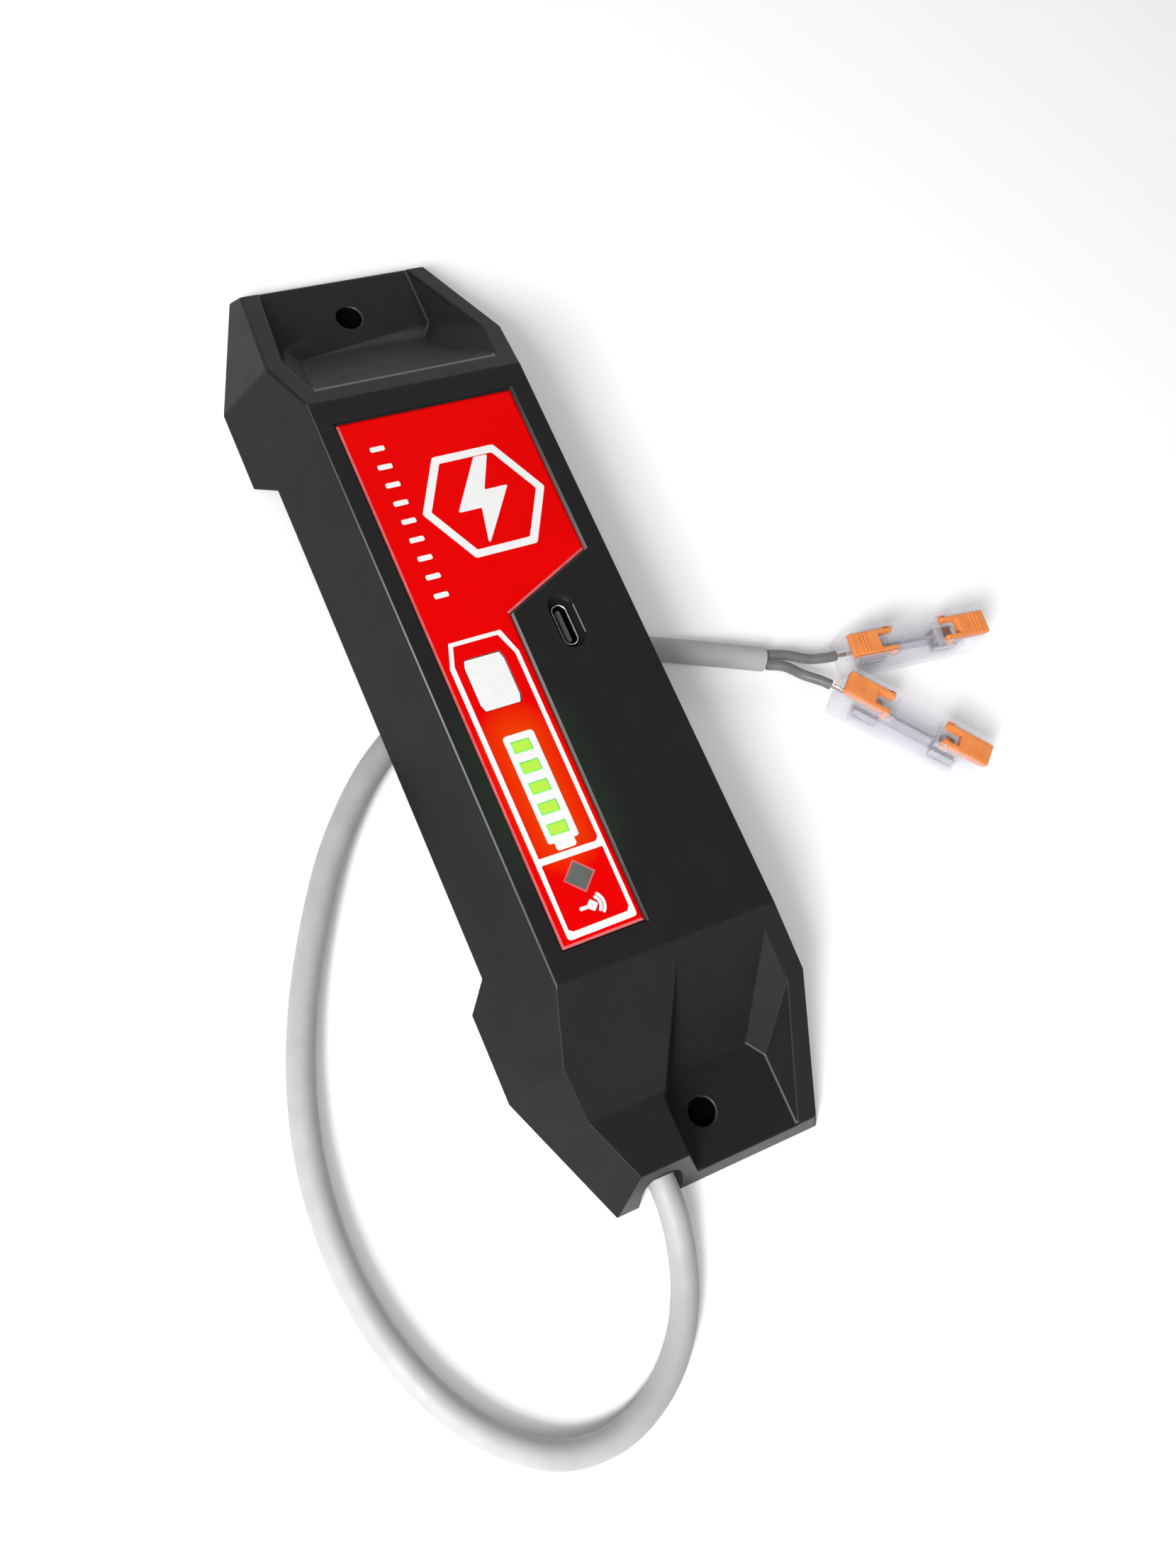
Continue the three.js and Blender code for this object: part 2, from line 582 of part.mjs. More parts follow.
// ---------- cable inside the foot ----------
function cableGrommet() {
  const body = lengthPrism(archOutline(FIT, FIT), -97.6, -93.6);
  const bore = new THREE.CylinderGeometry(CABLE.radius + FIT, CABLE.radius + FIT, 12, 20);
  bore.translate(CABLE.x, -96, CABLE.exitZ);
  return body.subtract(solid(bore));
}

function cableClamp() {
  const bar = box([CABLE.x - CLAMP.halfWidth, CABLE.x + CLAMP.halfWidth], [CLAMP.low, CLAMP.high],
    [CLAMP.bottom, CLAMP.top]);
  const holes = CLAMP_SCREWS.map(([x, y]) => cylinder(x, y, CLAMP.screwHole, -1, 4));
  return holes.reduce((left, cut) => left.subtract(cut), bar);
}

const INNER_Z = 5.5;

function innerCable() {
  return tube(
    [[CABLE.x, CABLE.exitY + FIT, CABLE.exitZ], [CABLE.x, -95, CABLE.exitZ], [CABLE.x, -88, 5.2],
      [CABLE.x, -80, INNER_Z], [CABLE.x, -72, INNER_Z], [CABLE.x, -68.3, INNER_Z]],
    CABLE.radius, 14, 12,
  );
}

function innerCore(i) {
  const side = i - 0.5;
  const x = CABLE.x + side * 2.5;
  return tube(
    [[x, -68, INNER_Z], [x, -66.6, 6.0], [CABLE.x + side * 2.9, -64.4, 9], [CABLE.x + side * 3.4, -62, 12.4],
      [terminalX(i), -58, TERMINAL.coreZ - 0.2], [terminalX(i), TERMINAL.low + 2.6, TERMINAL.coreZ]],
    CORE_RADIUS, 16, 8,
  );
}

// ---------- output cable and its splices ----------
// The sheath leaves the foot, drops to the surface, loops out to the left, passes under the case
// and ends on its right.
const CABLE_ROUTE = [
  [-13.2, CABLE.exitY, CABLE.exitZ], [-13.3, -103.5, 4.5], [-14.0, -109.5, 3.3], [-16.2, -116.5, 2.65],
  [-20.6, -123.6, 2.6], [-27.8, -129.9, 2.6], [-37.2, -133.4, 2.6], [-47.4, -132.2, 2.6],
  [-56.6, -125.5, 2.6], [-63.8, -115.2, 2.6], [-68.4, -103.0, 2.6], [-70.6, -89.5, 2.6],
  [-70.2, -75.5, 2.6], [-67.4, -61.5, 2.6], [-62.2, -47.5, 2.6], [-54.6, -33.2, 2.6],
  [-44.6, -18.6, 2.6], [-31.4, -5.8, 2.6], [-16.0, 2.2, 2.6], [0.0, 5.2, 2.6],
  [16.0, 4.2, 2.6], [31.0, 0.4, 2.6], [44.0, -4.6, 2.6], [55.8, -9.4, 2.6],
];

// Each splice lies on its base with its levers on top. Its length is turned from +X.
const SPLICES = [
  { middle: [90.6, -16.2], turn: -6.2, leadFrom: [56.9, -8.5], leadVia: [[61.3, -10.45], [65.6, -12.6]] },
  { middle: [80.2, -34.2], turn: -47, leadFrom: [56, -10.8], leadVia: [[59.4, -12.6], [62.8, -15.7]] },
];

// A point on a splice's long axis, in the part's frame.
function onSplice({ middle, turn }, along) {
  const angle = THREE.MathUtils.degToRad(turn);
  return [middle[0] + along * Math.cos(angle), middle[1] + along * Math.sin(angle)];
}

const SPLICE_MIDDLE_Z = SPLICE.height / 2;
const BARE_LENGTH = 1.6; // bare strands that show between a lead and its splice
const LEAD_END = -SPLICE.length / 2 - BARE_LENGTH;

function lead(place) {
  return tube(
    [
      [...place.leadFrom, CABLE.radius],
      ...place.leadVia.map((point) => [...point, 3.4]),
      [...onSplice(place, LEAD_END - 2), SPLICE_MIDDLE_Z - 0.2],
      [...onSplice(place, LEAD_END), SPLICE_MIDDLE_Z],
    ],
    CORE_RADIUS, 12, 8,
  );
}

function conductor(place) {
  const stations = [LEAD_END + FIT, -SPLICE.length / 2 + 3, -SPLICE.length / 2 + 6];
  const points = stations.map((along) => [...onSplice(place, along), SPLICE_MIDDLE_Z]);
  return tube(points, STRAND_RADIUS, 3, 8);
}

const SPLICE_WALL = 0.8;
const CHAMBER = { halfLength: 12.8, top: 0.8, halfWidth: SPLICE.width / 2 - SPLICE_WALL };
const LEVER = {
  length: 10.2, halfWidth: 2.6, thickness: 2.1, pinRadius: 0.8, pinReach: 3.3, pinY: 3.55,
  forkDepth: 2.9, forkHalfWidth: 1.7,
};
const CLAMP_SPRING = { near: 6.7, far: 9.8, halfWidth: 1.3, top: 1.7 };

// The clear body lies along X with its levers on the +Y side: a clamp chamber, a lever slot at
// each end with sockets for the lever's pins, and a round wire entry in each end face.
function spliceHousing() {
  const halfLength = SPLICE.length / 2;
  const top = SPLICE.height / 2;
  const outline = chamferedRectangle(0, 0, SPLICE.length, SPLICE.height, [0.7, 0.7]);
  const body = prism(outline, -SPLICE.width / 2, SPLICE.width / 2);
  const cuts = [
    box([-CHAMBER.halfLength, CHAMBER.halfLength], [-top + SPLICE_WALL, CHAMBER.top],
      [-CHAMBER.halfWidth, CHAMBER.halfWidth]),
  ];
  for (const end of [-1, 1]) {
    const along = (near, far) => [end * near, end * far].sort((a, b) => a - b);
    const slotFloor = LEVER.pinY - 1.55;
    const slotReach = LEVER.halfWidth + FIT;
    const socketReach = LEVER.pinReach + 0.15;
    cuts.push(
      box(along(LEVER_PIVOT - 2, halfLength + 1), [slotFloor, top + 1], [-slotReach, slotReach]),
      box(along(LEVER_PIVOT - 1, LEVER_PIVOT + 4), [CHAMBER.top - 0.2, slotFloor + 0.2], [-1.6, 1.6]),
      cylinder(end * LEVER_PIVOT, LEVER.pinY, LEVER.pinRadius + FIT, -socketReach, socketReach),
    );
    const entry = new THREE.CylinderGeometry(1.6, 1.6, 8, 14);
    entry.rotateZ(Math.PI / 2);
    entry.translate(end * (halfLength - 2), 0, 0);
    cuts.push(solid(entry));
  }
  return cuts.reduce((left, cut) => left.subtract(cut), body);
}

// A rail on edge between two foot plates, each with a clamp spring that rises under a lever's fork.
function contactBar() {
  const { near, far, halfWidth, top } = CLAMP_SPRING;
  const floor = -3.4;
  const ends = [-1, 1].flatMap((end) => {
    const along = (from, to) => [end * from, end * to].sort((a, b) => a - b);
    return [
      box(along(near - 0.2, 12.4), [floor, floor + 0.8], [-2.2, 2.2]),
      box(along(near, far), [floor + 0.6, top], [-halfWidth, halfWidth]),
    ];
  });
  return join(box([-near - 0.3, near + 0.3], [floor, 0.4], [-0.4, 0.4]), ...ends);
}

// A lever in its own frame: its pins' axis passes through the origin and its free end points
// along +X. It is forked round the clamp spring, with a pin on the outside of each arm.
function lever() {
  const { length, thickness, halfWidth, pinRadius, pinReach, forkDepth, forkHalfWidth } = LEVER;
  const outline = [
    [-0.9, -0.6], [-0.5, -thickness / 2], [length - 1.2, -thickness / 2], [length, -0.2],
    [length, thickness / 2], [-0.6, thickness / 2], [-0.9, 0.6],
  ];
  const fork = box([-2, forkDepth], [-thickness, thickness], [-forkHalfWidth, forkHalfWidth]);
  const arms = prism(outline, -halfWidth, halfWidth).subtract(fork);
  const inner = (forkHalfWidth + halfWidth) / 2;
  return join(
    arms,
    cylinder(0, 0, pinRadius, -pinReach, -inner),
    cylinder(0, 0, pinRadius, inner, pinReach),
  );
}

function splice(index) {
  const place = SPLICES[index];
  const name = `splice_${index + 1}`;
  const group = new THREE.Group();
  group.position.set(place.middle[0], place.middle[1], SPLICE_MIDDLE_Z);
  group.rotation.set(Math.PI / 2, 0, THREE.MathUtils.degToRad(place.turn) + Math.PI, "ZYX");
  group.add(part(`${name}_housing`, spliceHousing(), clearPlastic));
  group.add(part(`${name}_contact`, contactBar(), tin));
  for (const [label, end] of [["lead_lever", 1], ["load_lever", -1]]) {
    const mesh = part(`${name}_${label}`, lever(), leverOrange);
    mesh.position.set(end * LEVER_PIVOT, LEVER.pinY, 0);
    if (end < 0) mesh.rotation.y = Math.PI;
    group.add(mesh);
  }
  return group;
}

// ---------- assembly ----------
const unit = new THREE.Group();

unit.add(
  part("front_housing", frontHousing(), blackPlastic),
  part("back_cover", backCover(), blackPlastic),
  part("cover_seal", coverSeal(), seal),
  part("label_foil", labelFoil(), redFoil),
  part("test_key", testKey(), whitePlastic),
  part("switch_body", switchBody(), darkResin),
  part("switch_plunger", switchPlunger(), darkResin),
  part("gauge_light_pipe", gaugeLightPipe(), greenLens),
  part("light_shroud", lightShroud(), whitePlastic),
  part("status_lens", statusLens(), greyLens),
  part("status_led", led(DIAMOND.x, DIAMOND.y), ledResin),
  part("port_shell", portShell(), steel),
  part("port_tongue", portTongue(), darkResin),
  part("circuit_board", circuitBoard(), boardLacquer),
  part("radio_module", radioModule(), steel),
  part("terminal_block", terminalBlock(), darkResin),
  part("battery_cell_1", cell(0), cellFoil),
  part("battery_cell_2", cell(1), cellFoil),
  part("cell_pad", cellPad(), seal),
  part("protection_board", protectionBoard(), boardLacquer),
  part("battery_plug", batteryPlug(), whitePlastic),
  part("battery_lead_plus", batteryLead(-1.2), coreRed),
  part("battery_lead_minus", batteryLead(1.2), darkResin),
  part("cable_clamp", cableClamp(), blackPlastic),
  part("cable_grommet", cableGrommet(), seal),
  part("cable_inside", innerCable(), cableSheath),
);

segments.forEach((i) => {
  unit.add(part(`gauge_led_${i + 1}`, led(SEGMENT.x, segmentY(i)), ledResin));
});
[0, 1].forEach((i) => unit.add(part(`inner_core_${i + 1}`, innerCore(i), coreGrey)));

COVER_SCREWS.forEach(([x, y], i) => {
  const head = { radius: 2.3, bottom: GAP_HEIGHT + 0.02, top: GAP_HEIGHT + 0.8 };
  unit.add(part(`cover_screw_${i + 1}`, screw(x, y, head, { radius: 1.2, tip: 15 }), steel));
});
BOARD_SCREWS.forEach(([x, y], i) => {
  const head = { radius: 1.8, bottom: BOARD.bottom - FIT - 0.9, top: BOARD.bottom - FIT };
  unit.add(part(`board_screw_${i + 1}`, screw(x, y, head, { radius: 0.9, tip: 17.4 }), steel));
});
CLAMP_SCREWS.forEach(([x, y], i) => {
  const head = { radius: 1.9, bottom: 0.1, top: CLAMP.bottom - 0.1 };
  unit.add(part(`clamp_screw_${i + 1}`, screw(x, y, head, { radius: 0.9, tip: 7.6 }), steel));
});

unit.add(part("power_cable", tube(CABLE_ROUTE, CABLE.radius, 64, 12), cableSheath));
SPLICES.forEach((place, i) => {
  unit.add(part(`lead_${i + 1}`, lead(place), coreGrey));
  unit.add(part(`conductor_${i + 1}`, conductor(place), copper));
  unit.add(splice(i));
});

export default unit;
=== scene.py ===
import math

import bmesh
import bpy
from mathutils import Matrix, Vector


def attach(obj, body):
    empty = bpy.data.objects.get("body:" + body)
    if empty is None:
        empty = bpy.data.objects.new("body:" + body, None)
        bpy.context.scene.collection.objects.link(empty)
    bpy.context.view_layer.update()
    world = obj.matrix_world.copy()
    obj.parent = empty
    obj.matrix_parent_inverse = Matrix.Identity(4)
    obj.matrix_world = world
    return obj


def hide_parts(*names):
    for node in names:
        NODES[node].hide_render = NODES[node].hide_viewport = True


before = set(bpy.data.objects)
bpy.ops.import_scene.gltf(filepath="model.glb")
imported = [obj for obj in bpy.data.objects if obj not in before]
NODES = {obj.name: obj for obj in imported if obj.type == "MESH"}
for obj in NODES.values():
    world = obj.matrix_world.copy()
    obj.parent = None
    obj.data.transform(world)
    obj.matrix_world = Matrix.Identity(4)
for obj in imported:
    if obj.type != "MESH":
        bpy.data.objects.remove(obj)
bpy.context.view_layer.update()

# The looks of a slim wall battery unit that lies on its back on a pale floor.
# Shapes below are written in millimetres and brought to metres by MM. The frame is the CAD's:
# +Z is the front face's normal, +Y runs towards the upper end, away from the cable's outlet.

MM = 0.001

# ---------- dimensions shared with the CAD, in mm ----------
FOIL_TOP = 21.1
HOLE_Y, HOLE_RADIUS = 90.0, 2.75
RECESS_FLOOR = 3.96

SEGMENT_X, SEGMENT_FIRST_Y, SEGMENT_PITCH, SEGMENT_COUNT = -10.5, -17.3, 4.2, 5
SEGMENT_WIDTH, SEGMENT_LENGTH = 3.75, 2.25
PORT_X, PORT_Y, PORT_MOUTH = 8.35, 3.7, 19.9
SHELL_WIDTH, SHELL_LENGTH, SHELL_WALL = 3.26, 8.94, 0.3

CABLE_RADIUS, CORE_RADIUS, BUNDLE_RADIUS = 2.6, 1.1, 0.55
SPLICE_LENGTH, SPLICE_WIDTH, SPLICE_HEIGHT = 35.6, 8.1, 9.4
LEVER_PIVOT, LEVER_PIN_Y = 7.3, 3.55


# ---------- camera ----------
CAMERA_PLACE = (-0.11316, -0.09282, 0.27049)
CAMERA_BACK = Vector((-0.39756, -0.23045, 0.88817))
CAMERA_UP = Vector((0.28875, 0.88735, 0.35949))


def place_camera():
    """Looks down at the unit from its left and a little from its lower end, rolled clockwise."""
    right = CAMERA_UP.cross(CAMERA_BACK)
    data = bpy.data.cameras.new("camera")
    data.lens = 35
    data.sensor_width = 36
    data.clip_start = 0.01
    data.clip_end = 20
    camera = bpy.data.objects.new("camera", data)
    rotation = Matrix((right, CAMERA_UP, CAMERA_BACK)).transposed().to_4x4()
    camera.matrix_world = Matrix.Translation(CAMERA_PLACE) @ rotation
    bpy.context.scene.collection.objects.link(camera)
    bpy.context.scene.camera = camera


place_camera()


# ---------- curves ----------
def smooth_line(points, steps=12):
    """The centripetal Catmull-Rom curve through the points, sampled."""
    points = [Vector(p) for p in points]
    padded = [2 * points[0] - points[1], *points, 2 * points[-1] - points[-2]]
    line = []
    for i in range(1, len(padded) - 2):
        before, start, end, after = padded[i - 1 : i + 3]
        pairs = ((before, start), (start, end), (end, after))
        first, second, third = (math.sqrt((b - a).length) for a, b in pairs)
        middle = (end - start) / second
        leave = (start - before) / first - (end - before) / (first + second) + middle
        reach = middle - (after - start) / (second + third) + (after - end) / third
        leave, reach = leave * second, reach * second
        for step in range(steps):
            t = step / steps
            line.append(
                start * (2 * t**3 - 3 * t**2 + 1)
                + leave * (t**3 - 2 * t**2 + t)
                + end * (3 * t**2 - 2 * t**3)
                + reach * (t**3 - t**2)
            )
    return [*line, points[-1]]


def round_tubes(name, lines, radius, material, resolution=6):
    """Capped round tubes along sampled points, as one curve with a bevel."""
    curve = bpy.data.curves.new(name, "CURVE")
    curve.dimensions = "3D"
    curve.bevel_depth = radius * MM
    curve.bevel_resolution = resolution
    curve.use_fill_caps = True
    for line in lines:
        spline = curve.splines.new("POLY")
        spline.points.add(len(line) - 1)
        for point, place in zip(spline.points, line):
            point.co = (*(place * MM), 1)
        spline.use_smooth = True
    curve.materials.append(material)
    tube = bpy.data.objects.new(name, curve)
    bpy.context.scene.collection.objects.link(tube)
    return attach(tube, "root")


# ---------- materials ----------
def new_material(name, roughness, metallic=0.0, specular=0.5, color=(0.8, 0.8, 0.8)):
    material = bpy.data.materials.new(name)
    material.use_nodes = True
    shader = material.node_tree.nodes["Principled BSDF"]
    shader.inputs["Base Color"].default_value = (*color, 1)
    shader.inputs["Roughness"].default_value = roughness
    shader.inputs["Metallic"].default_value = metallic
    shader.inputs["Specular IOR Level"].default_value = specular
    return material, material.node_tree, shader


def node(tree, kind, **values):
    made = tree.nodes.new(kind)
    for name, value in values.items():
        setattr(made, name, value)
    return made


NOISE_REACH = (0.3, 0.7)  # nearly all of the noise lies between these


def object_noise(tree, size, detail=2.0):
    """Noise whose features are about size mm across, fixed to the object."""
    place = node(tree, "ShaderNodeTexCoord")
    noise = node(tree, "ShaderNodeTexNoise")
    noise.inputs["Scale"].default_value = 1 / (size * MM)
    noise.inputs["Detail"].default_value = detail
    tree.links.new(place.outputs["Object"], noise.inputs["Vector"])
    return noise.outputs["Fac"]


def ramp(tree, factor, low, high):
    """A blend between two colours over the middle third of factor's range."""
    blend = node(tree, "ShaderNodeValToRGB")
    elements = blend.color_ramp.elements
    elements[0].position, elements[1].position = 0.35, 0.65
    elements[0].color, elements[1].color = (*low, 1), (*high, 1)
    tree.links.new(factor, blend.inputs["Fac"])
    return blend.outputs["Color"]


def mix(tree, factor, first, second):
    blend = node(tree, "ShaderNodeMix", data_type="RGBA")
    tree.links.new(factor, blend.inputs["Factor"])
    for socket, value in ((blend.inputs["A"], first), (blend.inputs["B"], second)):
        if isinstance(value, tuple):
            socket.default_value = (*value, 1)
        else:
            tree.links.new(value, socket)
    return blend.outputs["Result"]


def span(tree, value, low, high, to_low, to_high):
    """value carried from one range to another, and held at its ends."""
    made = node(tree, "ShaderNodeMapRange")
    ends = {"From Min": low, "From Max": high, "To Min": to_low, "To Max": to_high}
    for name, number in ends.items():
        made.inputs[name].default_value = number
    tree.links.new(value, made.inputs["Value"])
    return made.outputs["Result"]


def maths(tree, operation, *values):
    made = node(tree, "ShaderNodeMath", operation=operation)
    for socket, value in zip(made.inputs, values):
        if isinstance(value, (int, float)):
            socket.default_value = value
        else:
            tree.links.new(value, socket)
    return made.outputs["Value"]


def grain(tree, shader, size, depth, detail=2.0):
    """Raised grain of about size mm across and depth mm deep."""
    bump = node(tree, "ShaderNodeBump")
    bump.inputs["Strength"].default_value = 1.0
    bump.inputs["Distance"].default_value = depth * MM
    tree.links.new(object_noise(tree, size, detail), bump.inputs["Height"])
    tree.links.new(bump.outputs["Normal"], shader.inputs["Normal"])


def vary_roughness(tree, shader, size, detail, low, high):
    """Roughness that drifts between low and high over size mm."""
    drift = span(tree, object_noise(tree, size, detail), *NOISE_REACH, low, high)
    tree.links.new(drift, shader.inputs["Roughness"])


def edge_mask(tree, radius):
    """1 along the edges of the shape and 0 on its faces."""
    bevel = node(tree, "ShaderNodeBevel", samples=4)
    bevel.inputs["Radius"].default_value = radius * MM
    geometry = node(tree, "ShaderNodeNewGeometry")
    dot = node(tree, "ShaderNodeVectorMath", operation="DOT_PRODUCT")
    tree.links.new(bevel.outputs["Normal"], dot.inputs[0])
    tree.links.new(geometry.outputs["Normal"], dot.inputs[1])
    return span(tree, maths(tree, "SUBTRACT", 1.0, dot.outputs["Value"]), 0.02, 0.3, 0.0, 1.0)


def object_axes(tree):
    place = node(tree, "ShaderNodeTexCoord")
    split = node(tree, "ShaderNodeSeparateXYZ")
    tree.links.new(place.outputs["Object"], split.inputs["Vector"])
    return split.outputs["X"], split.outputs["Y"], split.outputs["Z"]


def past(tree, axis, place):
    """How far in mm a point on an axis is past a place on it."""
    return maths(tree, "SUBTRACT", maths(tree, "MULTIPLY", axis, 1 / MM), place)


def gauge_distance(tree):
    """Distance in mm from the line down the middle of the lit gauge."""
    x, y, _ = object_axes(tree)
    half_row = SEGMENT_PITCH * (SEGMENT_COUNT - 1) / 2
    across = maths(tree, "ABSOLUTE", past(tree, x, SEGMENT_X))
    along = maths(tree, "ABSOLUTE", past(tree, y, SEGMENT_FIRST_Y - half_row))
    reach = half_row + SEGMENT_LENGTH / 2
    beyond = maths(tree, "MAXIMUM", maths(tree, "SUBTRACT", along, reach), 0.0)
    squares = maths(tree, "ADD", maths(tree, "POWER", across, 2), maths(tree, "POWER", beyond, 2))
    return maths(tree, "SQRT", squares)


# ---------- finishes ----------
# Lighter black for the case's edges: part wear, part painted highlight.
WEAR_AND_HIGHLIGHT_BLACK = (0.024, 0.024, 0.0245)
# Light grey of the painted highlight on chosen edges.
HIGHLIGHT_GREY = (0.17, 0.17, 0.172)
GLOW_ON_CASE = 0.014  # painted glow: the light that the lit gauge spills on the case, given as the case's own faint emission


def case_plastic(name, low, high, specular, rough):
    """Moulded black plastic with a fine grain, its edges lightened in patches by wear and a painted
    highlight, and a faint painted green glow near the lit gauge.
    """
    material, tree, shader = new_material(name, rough, specular=specular)
    shades = (low, low, low * 1.02), (high, high, high * 1.02)
    mottled = ramp(tree, object_noise(tree, 9, 4), *shades)
    speckle = span(tree, object_noise(tree, 0.25, 2), 0.55, 0.75, 0.0, 0.4)
    speckled = mix(tree, speckle, mottled, (high * 1.6, high * 1.6, high * 1.63))
    # Edges lightened in random patches: part wear, part painted highlight.
    edge_lightening = span(tree, object_noise(tree, 2.5, 4), *NOISE_REACH, 0.1, 0.7)
    wear_and_highlight = maths(tree, "MULTIPLY", edge_mask(tree, 0.4), edge_lightening)
    tree.links.new(mix(tree, wear_and_highlight, speckled, WEAR_AND_HIGHLIGHT_BLACK), shader.inputs["Base Color"])
    vary_roughness(tree, shader, 5, 5, rough - 0.03, rough + 0.03)
    grain(tree, shader, 0.28, 0.010, 3)
    # Painted glow: a faint green emission near the lit gauge stands in for the gauge's light on the
    # case.
    shader.inputs["Emission Color"].default_value = (0.1, 1.0, 0.15, 1)
    glow = span(tree, gauge_distance(tree), 7.0, 14, GLOW_ON_CASE, 0.0)
    tree.links.new(glow, shader.inputs["Emission Strength"])
    return material, shader


def foil_red():
    """Red foil, coloured orange and made to glow round the lit gauge: a painted glow for the
    gauge's light through it.
    """
    material, tree, shader = new_material("foil_red", 0.38, specular=0.04)
    base = ramp(tree, object_noise(tree, 14, 3), (0.60, 0.0005, 0.0005), (0.64, 0.0006, 0.0006))
    # Painted glow: orange colour and emission round the gauge, in place of the gauge's light
    # through the foil.
    painted_gauge_glow = span(tree, gauge_distance(tree), 2.2, 8.2, 1.0, 0.0)
    tree.links.new(mix(tree, painted_gauge_glow, base, (0.58, 0.032, 0.0003)), shader.inputs["Base Color"])
    vary_roughness(tree, shader, 0.6, 4, 0.34, 0.42)
    shader.inputs["Emission Color"].default_value = (1.0, 0.12, 0.0, 1)
    tree.links.new(maths(tree, "MULTIPLY", painted_gauge_glow, 0.05), shader.inputs["Emission Strength"])
    grain(tree, shader, 0.35, 0.002, 2)
    return material


def plain(name, low, high, roughness, size=3.0, grain_size=0.3, depth=0.004, **finish):
    """A finish whose colour drifts between two shades over size mm, with fine grain."""
    material, tree, shader = new_material(name, roughness, **finish)
    tree.links.new(ramp(tree, object_noise(tree, size, 4), low, high), shader.inputs["Base Color"])
    vary_roughness(tree, shader, size / 3, 3, roughness * 0.85, roughness * 1.15)
    grain(tree, shader, grain_size, depth, 2)
    return material


def painted_highlight_plastic():
    """Case plastic, glossy, with a painted highlight that is strongest in the middle of the case's
    length.
    """
    material, shader = case_plastic("case_painted_highlight_edge", 0.026, 0.034, 0.8, 0.36)
    shader.inputs["Coat Weight"].default_value = 0.4
    shader.inputs["Coat Roughness"].default_value = 0.28
    tree = material.node_tree
    # Painted highlight: the base colour turns light grey within 5 mm of the middle of the case's
    # length and fades out by 58 mm.
    from_middle = maths(tree, "ABSOLUTE", maths(tree, "ADD", object_axes(tree)[1], 2 * MM))
    highlight = span(tree, from_middle, 5 * MM, 58 * MM, 1.0, 0.0)
    unhighlighted = shader.inputs["Base Color"].links[0].from_socket
    tree.links.new(mix(tree, highlight, unhighlighted, HIGHLIGHT_GREY), shader.inputs["Base Color"])
    return material


CASE = case_plastic("case_plastic", 0.0112, 0.0128, 0.1, 0.43)[0]
HIGHLIGHT_EDGE = painted_highlight_plastic()
# Painted highlight: a lighter, glossier copy of the case plastic for some roundings.
HIGHLIGHT_RIM = case_plastic("case_painted_highlight_rim", 0.028, 0.034, 0.5, 0.38)[0]
# Painted light: a lighter copy of the case plastic for the end faces, which catch more light.
LIT_END = case_plastic("case_end_face_painted_light", 0.020, 0.023, 0.36, 0.4)[0]
FOIL = foil_red()
# Painted highlight: lighter pink for the foil's sloped rim where it faces the light.
FOIL_EDGE_HIGHLIGHT = plain("foil_edge_painted_highlight", (0.50, 0.075, 0.08), (0.58, 0.12, 0.125), 0.35)
PRINT = plain(
    "white_ink", (0.68, 0.68, 0.675), (0.71, 0.71, 0.705),
    0.45, specular=0.2, grain_size=0.2, depth=0.002,
)
WHITE = plain(
    "key_white", (0.67, 0.67, 0.665), (0.70, 0.70, 0.695),
    0.42, specular=0.3, grain_size=0.25, depth=0.002,
)
SHEATH = plain(
    "sheath_grey", (0.32, 0.32, 0.314), (0.35, 0.35, 0.343),
    0.55, size=6, grain_size=0.4, depth=0.008,
)
CORE = plain("core_grey", (0.11, 0.11, 0.11), (0.14, 0.14, 0.14), 0.45)
COPPER = plain("tinned_copper", (0.62, 0.58, 0.55), (0.74, 0.71, 0.68), 0.3, metallic=1.0)
STEEL = plain("steel", (0.55, 0.55, 0.56), (0.66, 0.66, 0.67), 0.25, metallic=1.0)
TIN = plain("tinned_metal", (0.40, 0.40, 0.43), (0.52, 0.52, 0.55), 0.3, metallic=1.0)
ORANGE = plain(
    "lever_orange", (0.66, 0.205, 0.055), (0.72, 0.24, 0.07), 0.4, specular=0.3, depth=0.003,
)
RUBBER = plain(
    "seal_rubber", (0.012, 0.012, 0.012), (0.02, 0.02, 0.02), 0.75, specular=0.3, depth=0.01,
)
RESIN = plain("dark_resin", (0.008, 0.008, 0.008), (0.014, 0.014, 0.014), 0.4, depth=0.003)
LENS = plain("status_window", (0.088, 0.095, 0.086), (0.102, 0.109, 0.10), 0.3, size=5, depth=0.001)
BOARD = plain(
    "board_lacquer", (0.012, 0.09, 0.035), (0.018, 0.12, 0.05), 0.35, size=1.2, depth=0.006,
)
POUCH = plain(
    "cell_pouch", (0.42, 0.46, 0.50), (0.50, 0.54, 0.58),
    0.38, metallic=0.7, grain_size=1.5, depth=0.05,
)
RED_WIRE = plain("wire_red", (0.38, 0.012, 0.012), (0.46, 0.02, 0.02), 0.45)
LED_RESIN = plain("led_resin", (0.75, 0.86, 0.50), (0.85, 0.92, 0.62), 0.3)
BLACK = plain(
    "port_black", (0.003, 0.003, 0.003), (0.005, 0.005, 0.005), 0.3, specular=0.25, depth=0.001,
)
# Painted shade: the web at the bottom of each screw hole is nearly black, darker than the case
# plastic.
SHADED_HOLE = plain("hole_web_painted_shade", (0.0015, 0.0015, 0.0015), (0.002, 0.002, 0.002), 0.85, specular=0.03)
# Painted shade: the sleeve's metal is much darker than nickel is.
SHADED_SLEEVE = plain(
    "sleeve_nickel_painted_shade", (0.16, 0.16, 0.165), (0.20, 0.20, 0.205), 0.2, metallic=1.0, depth=0.001,
)
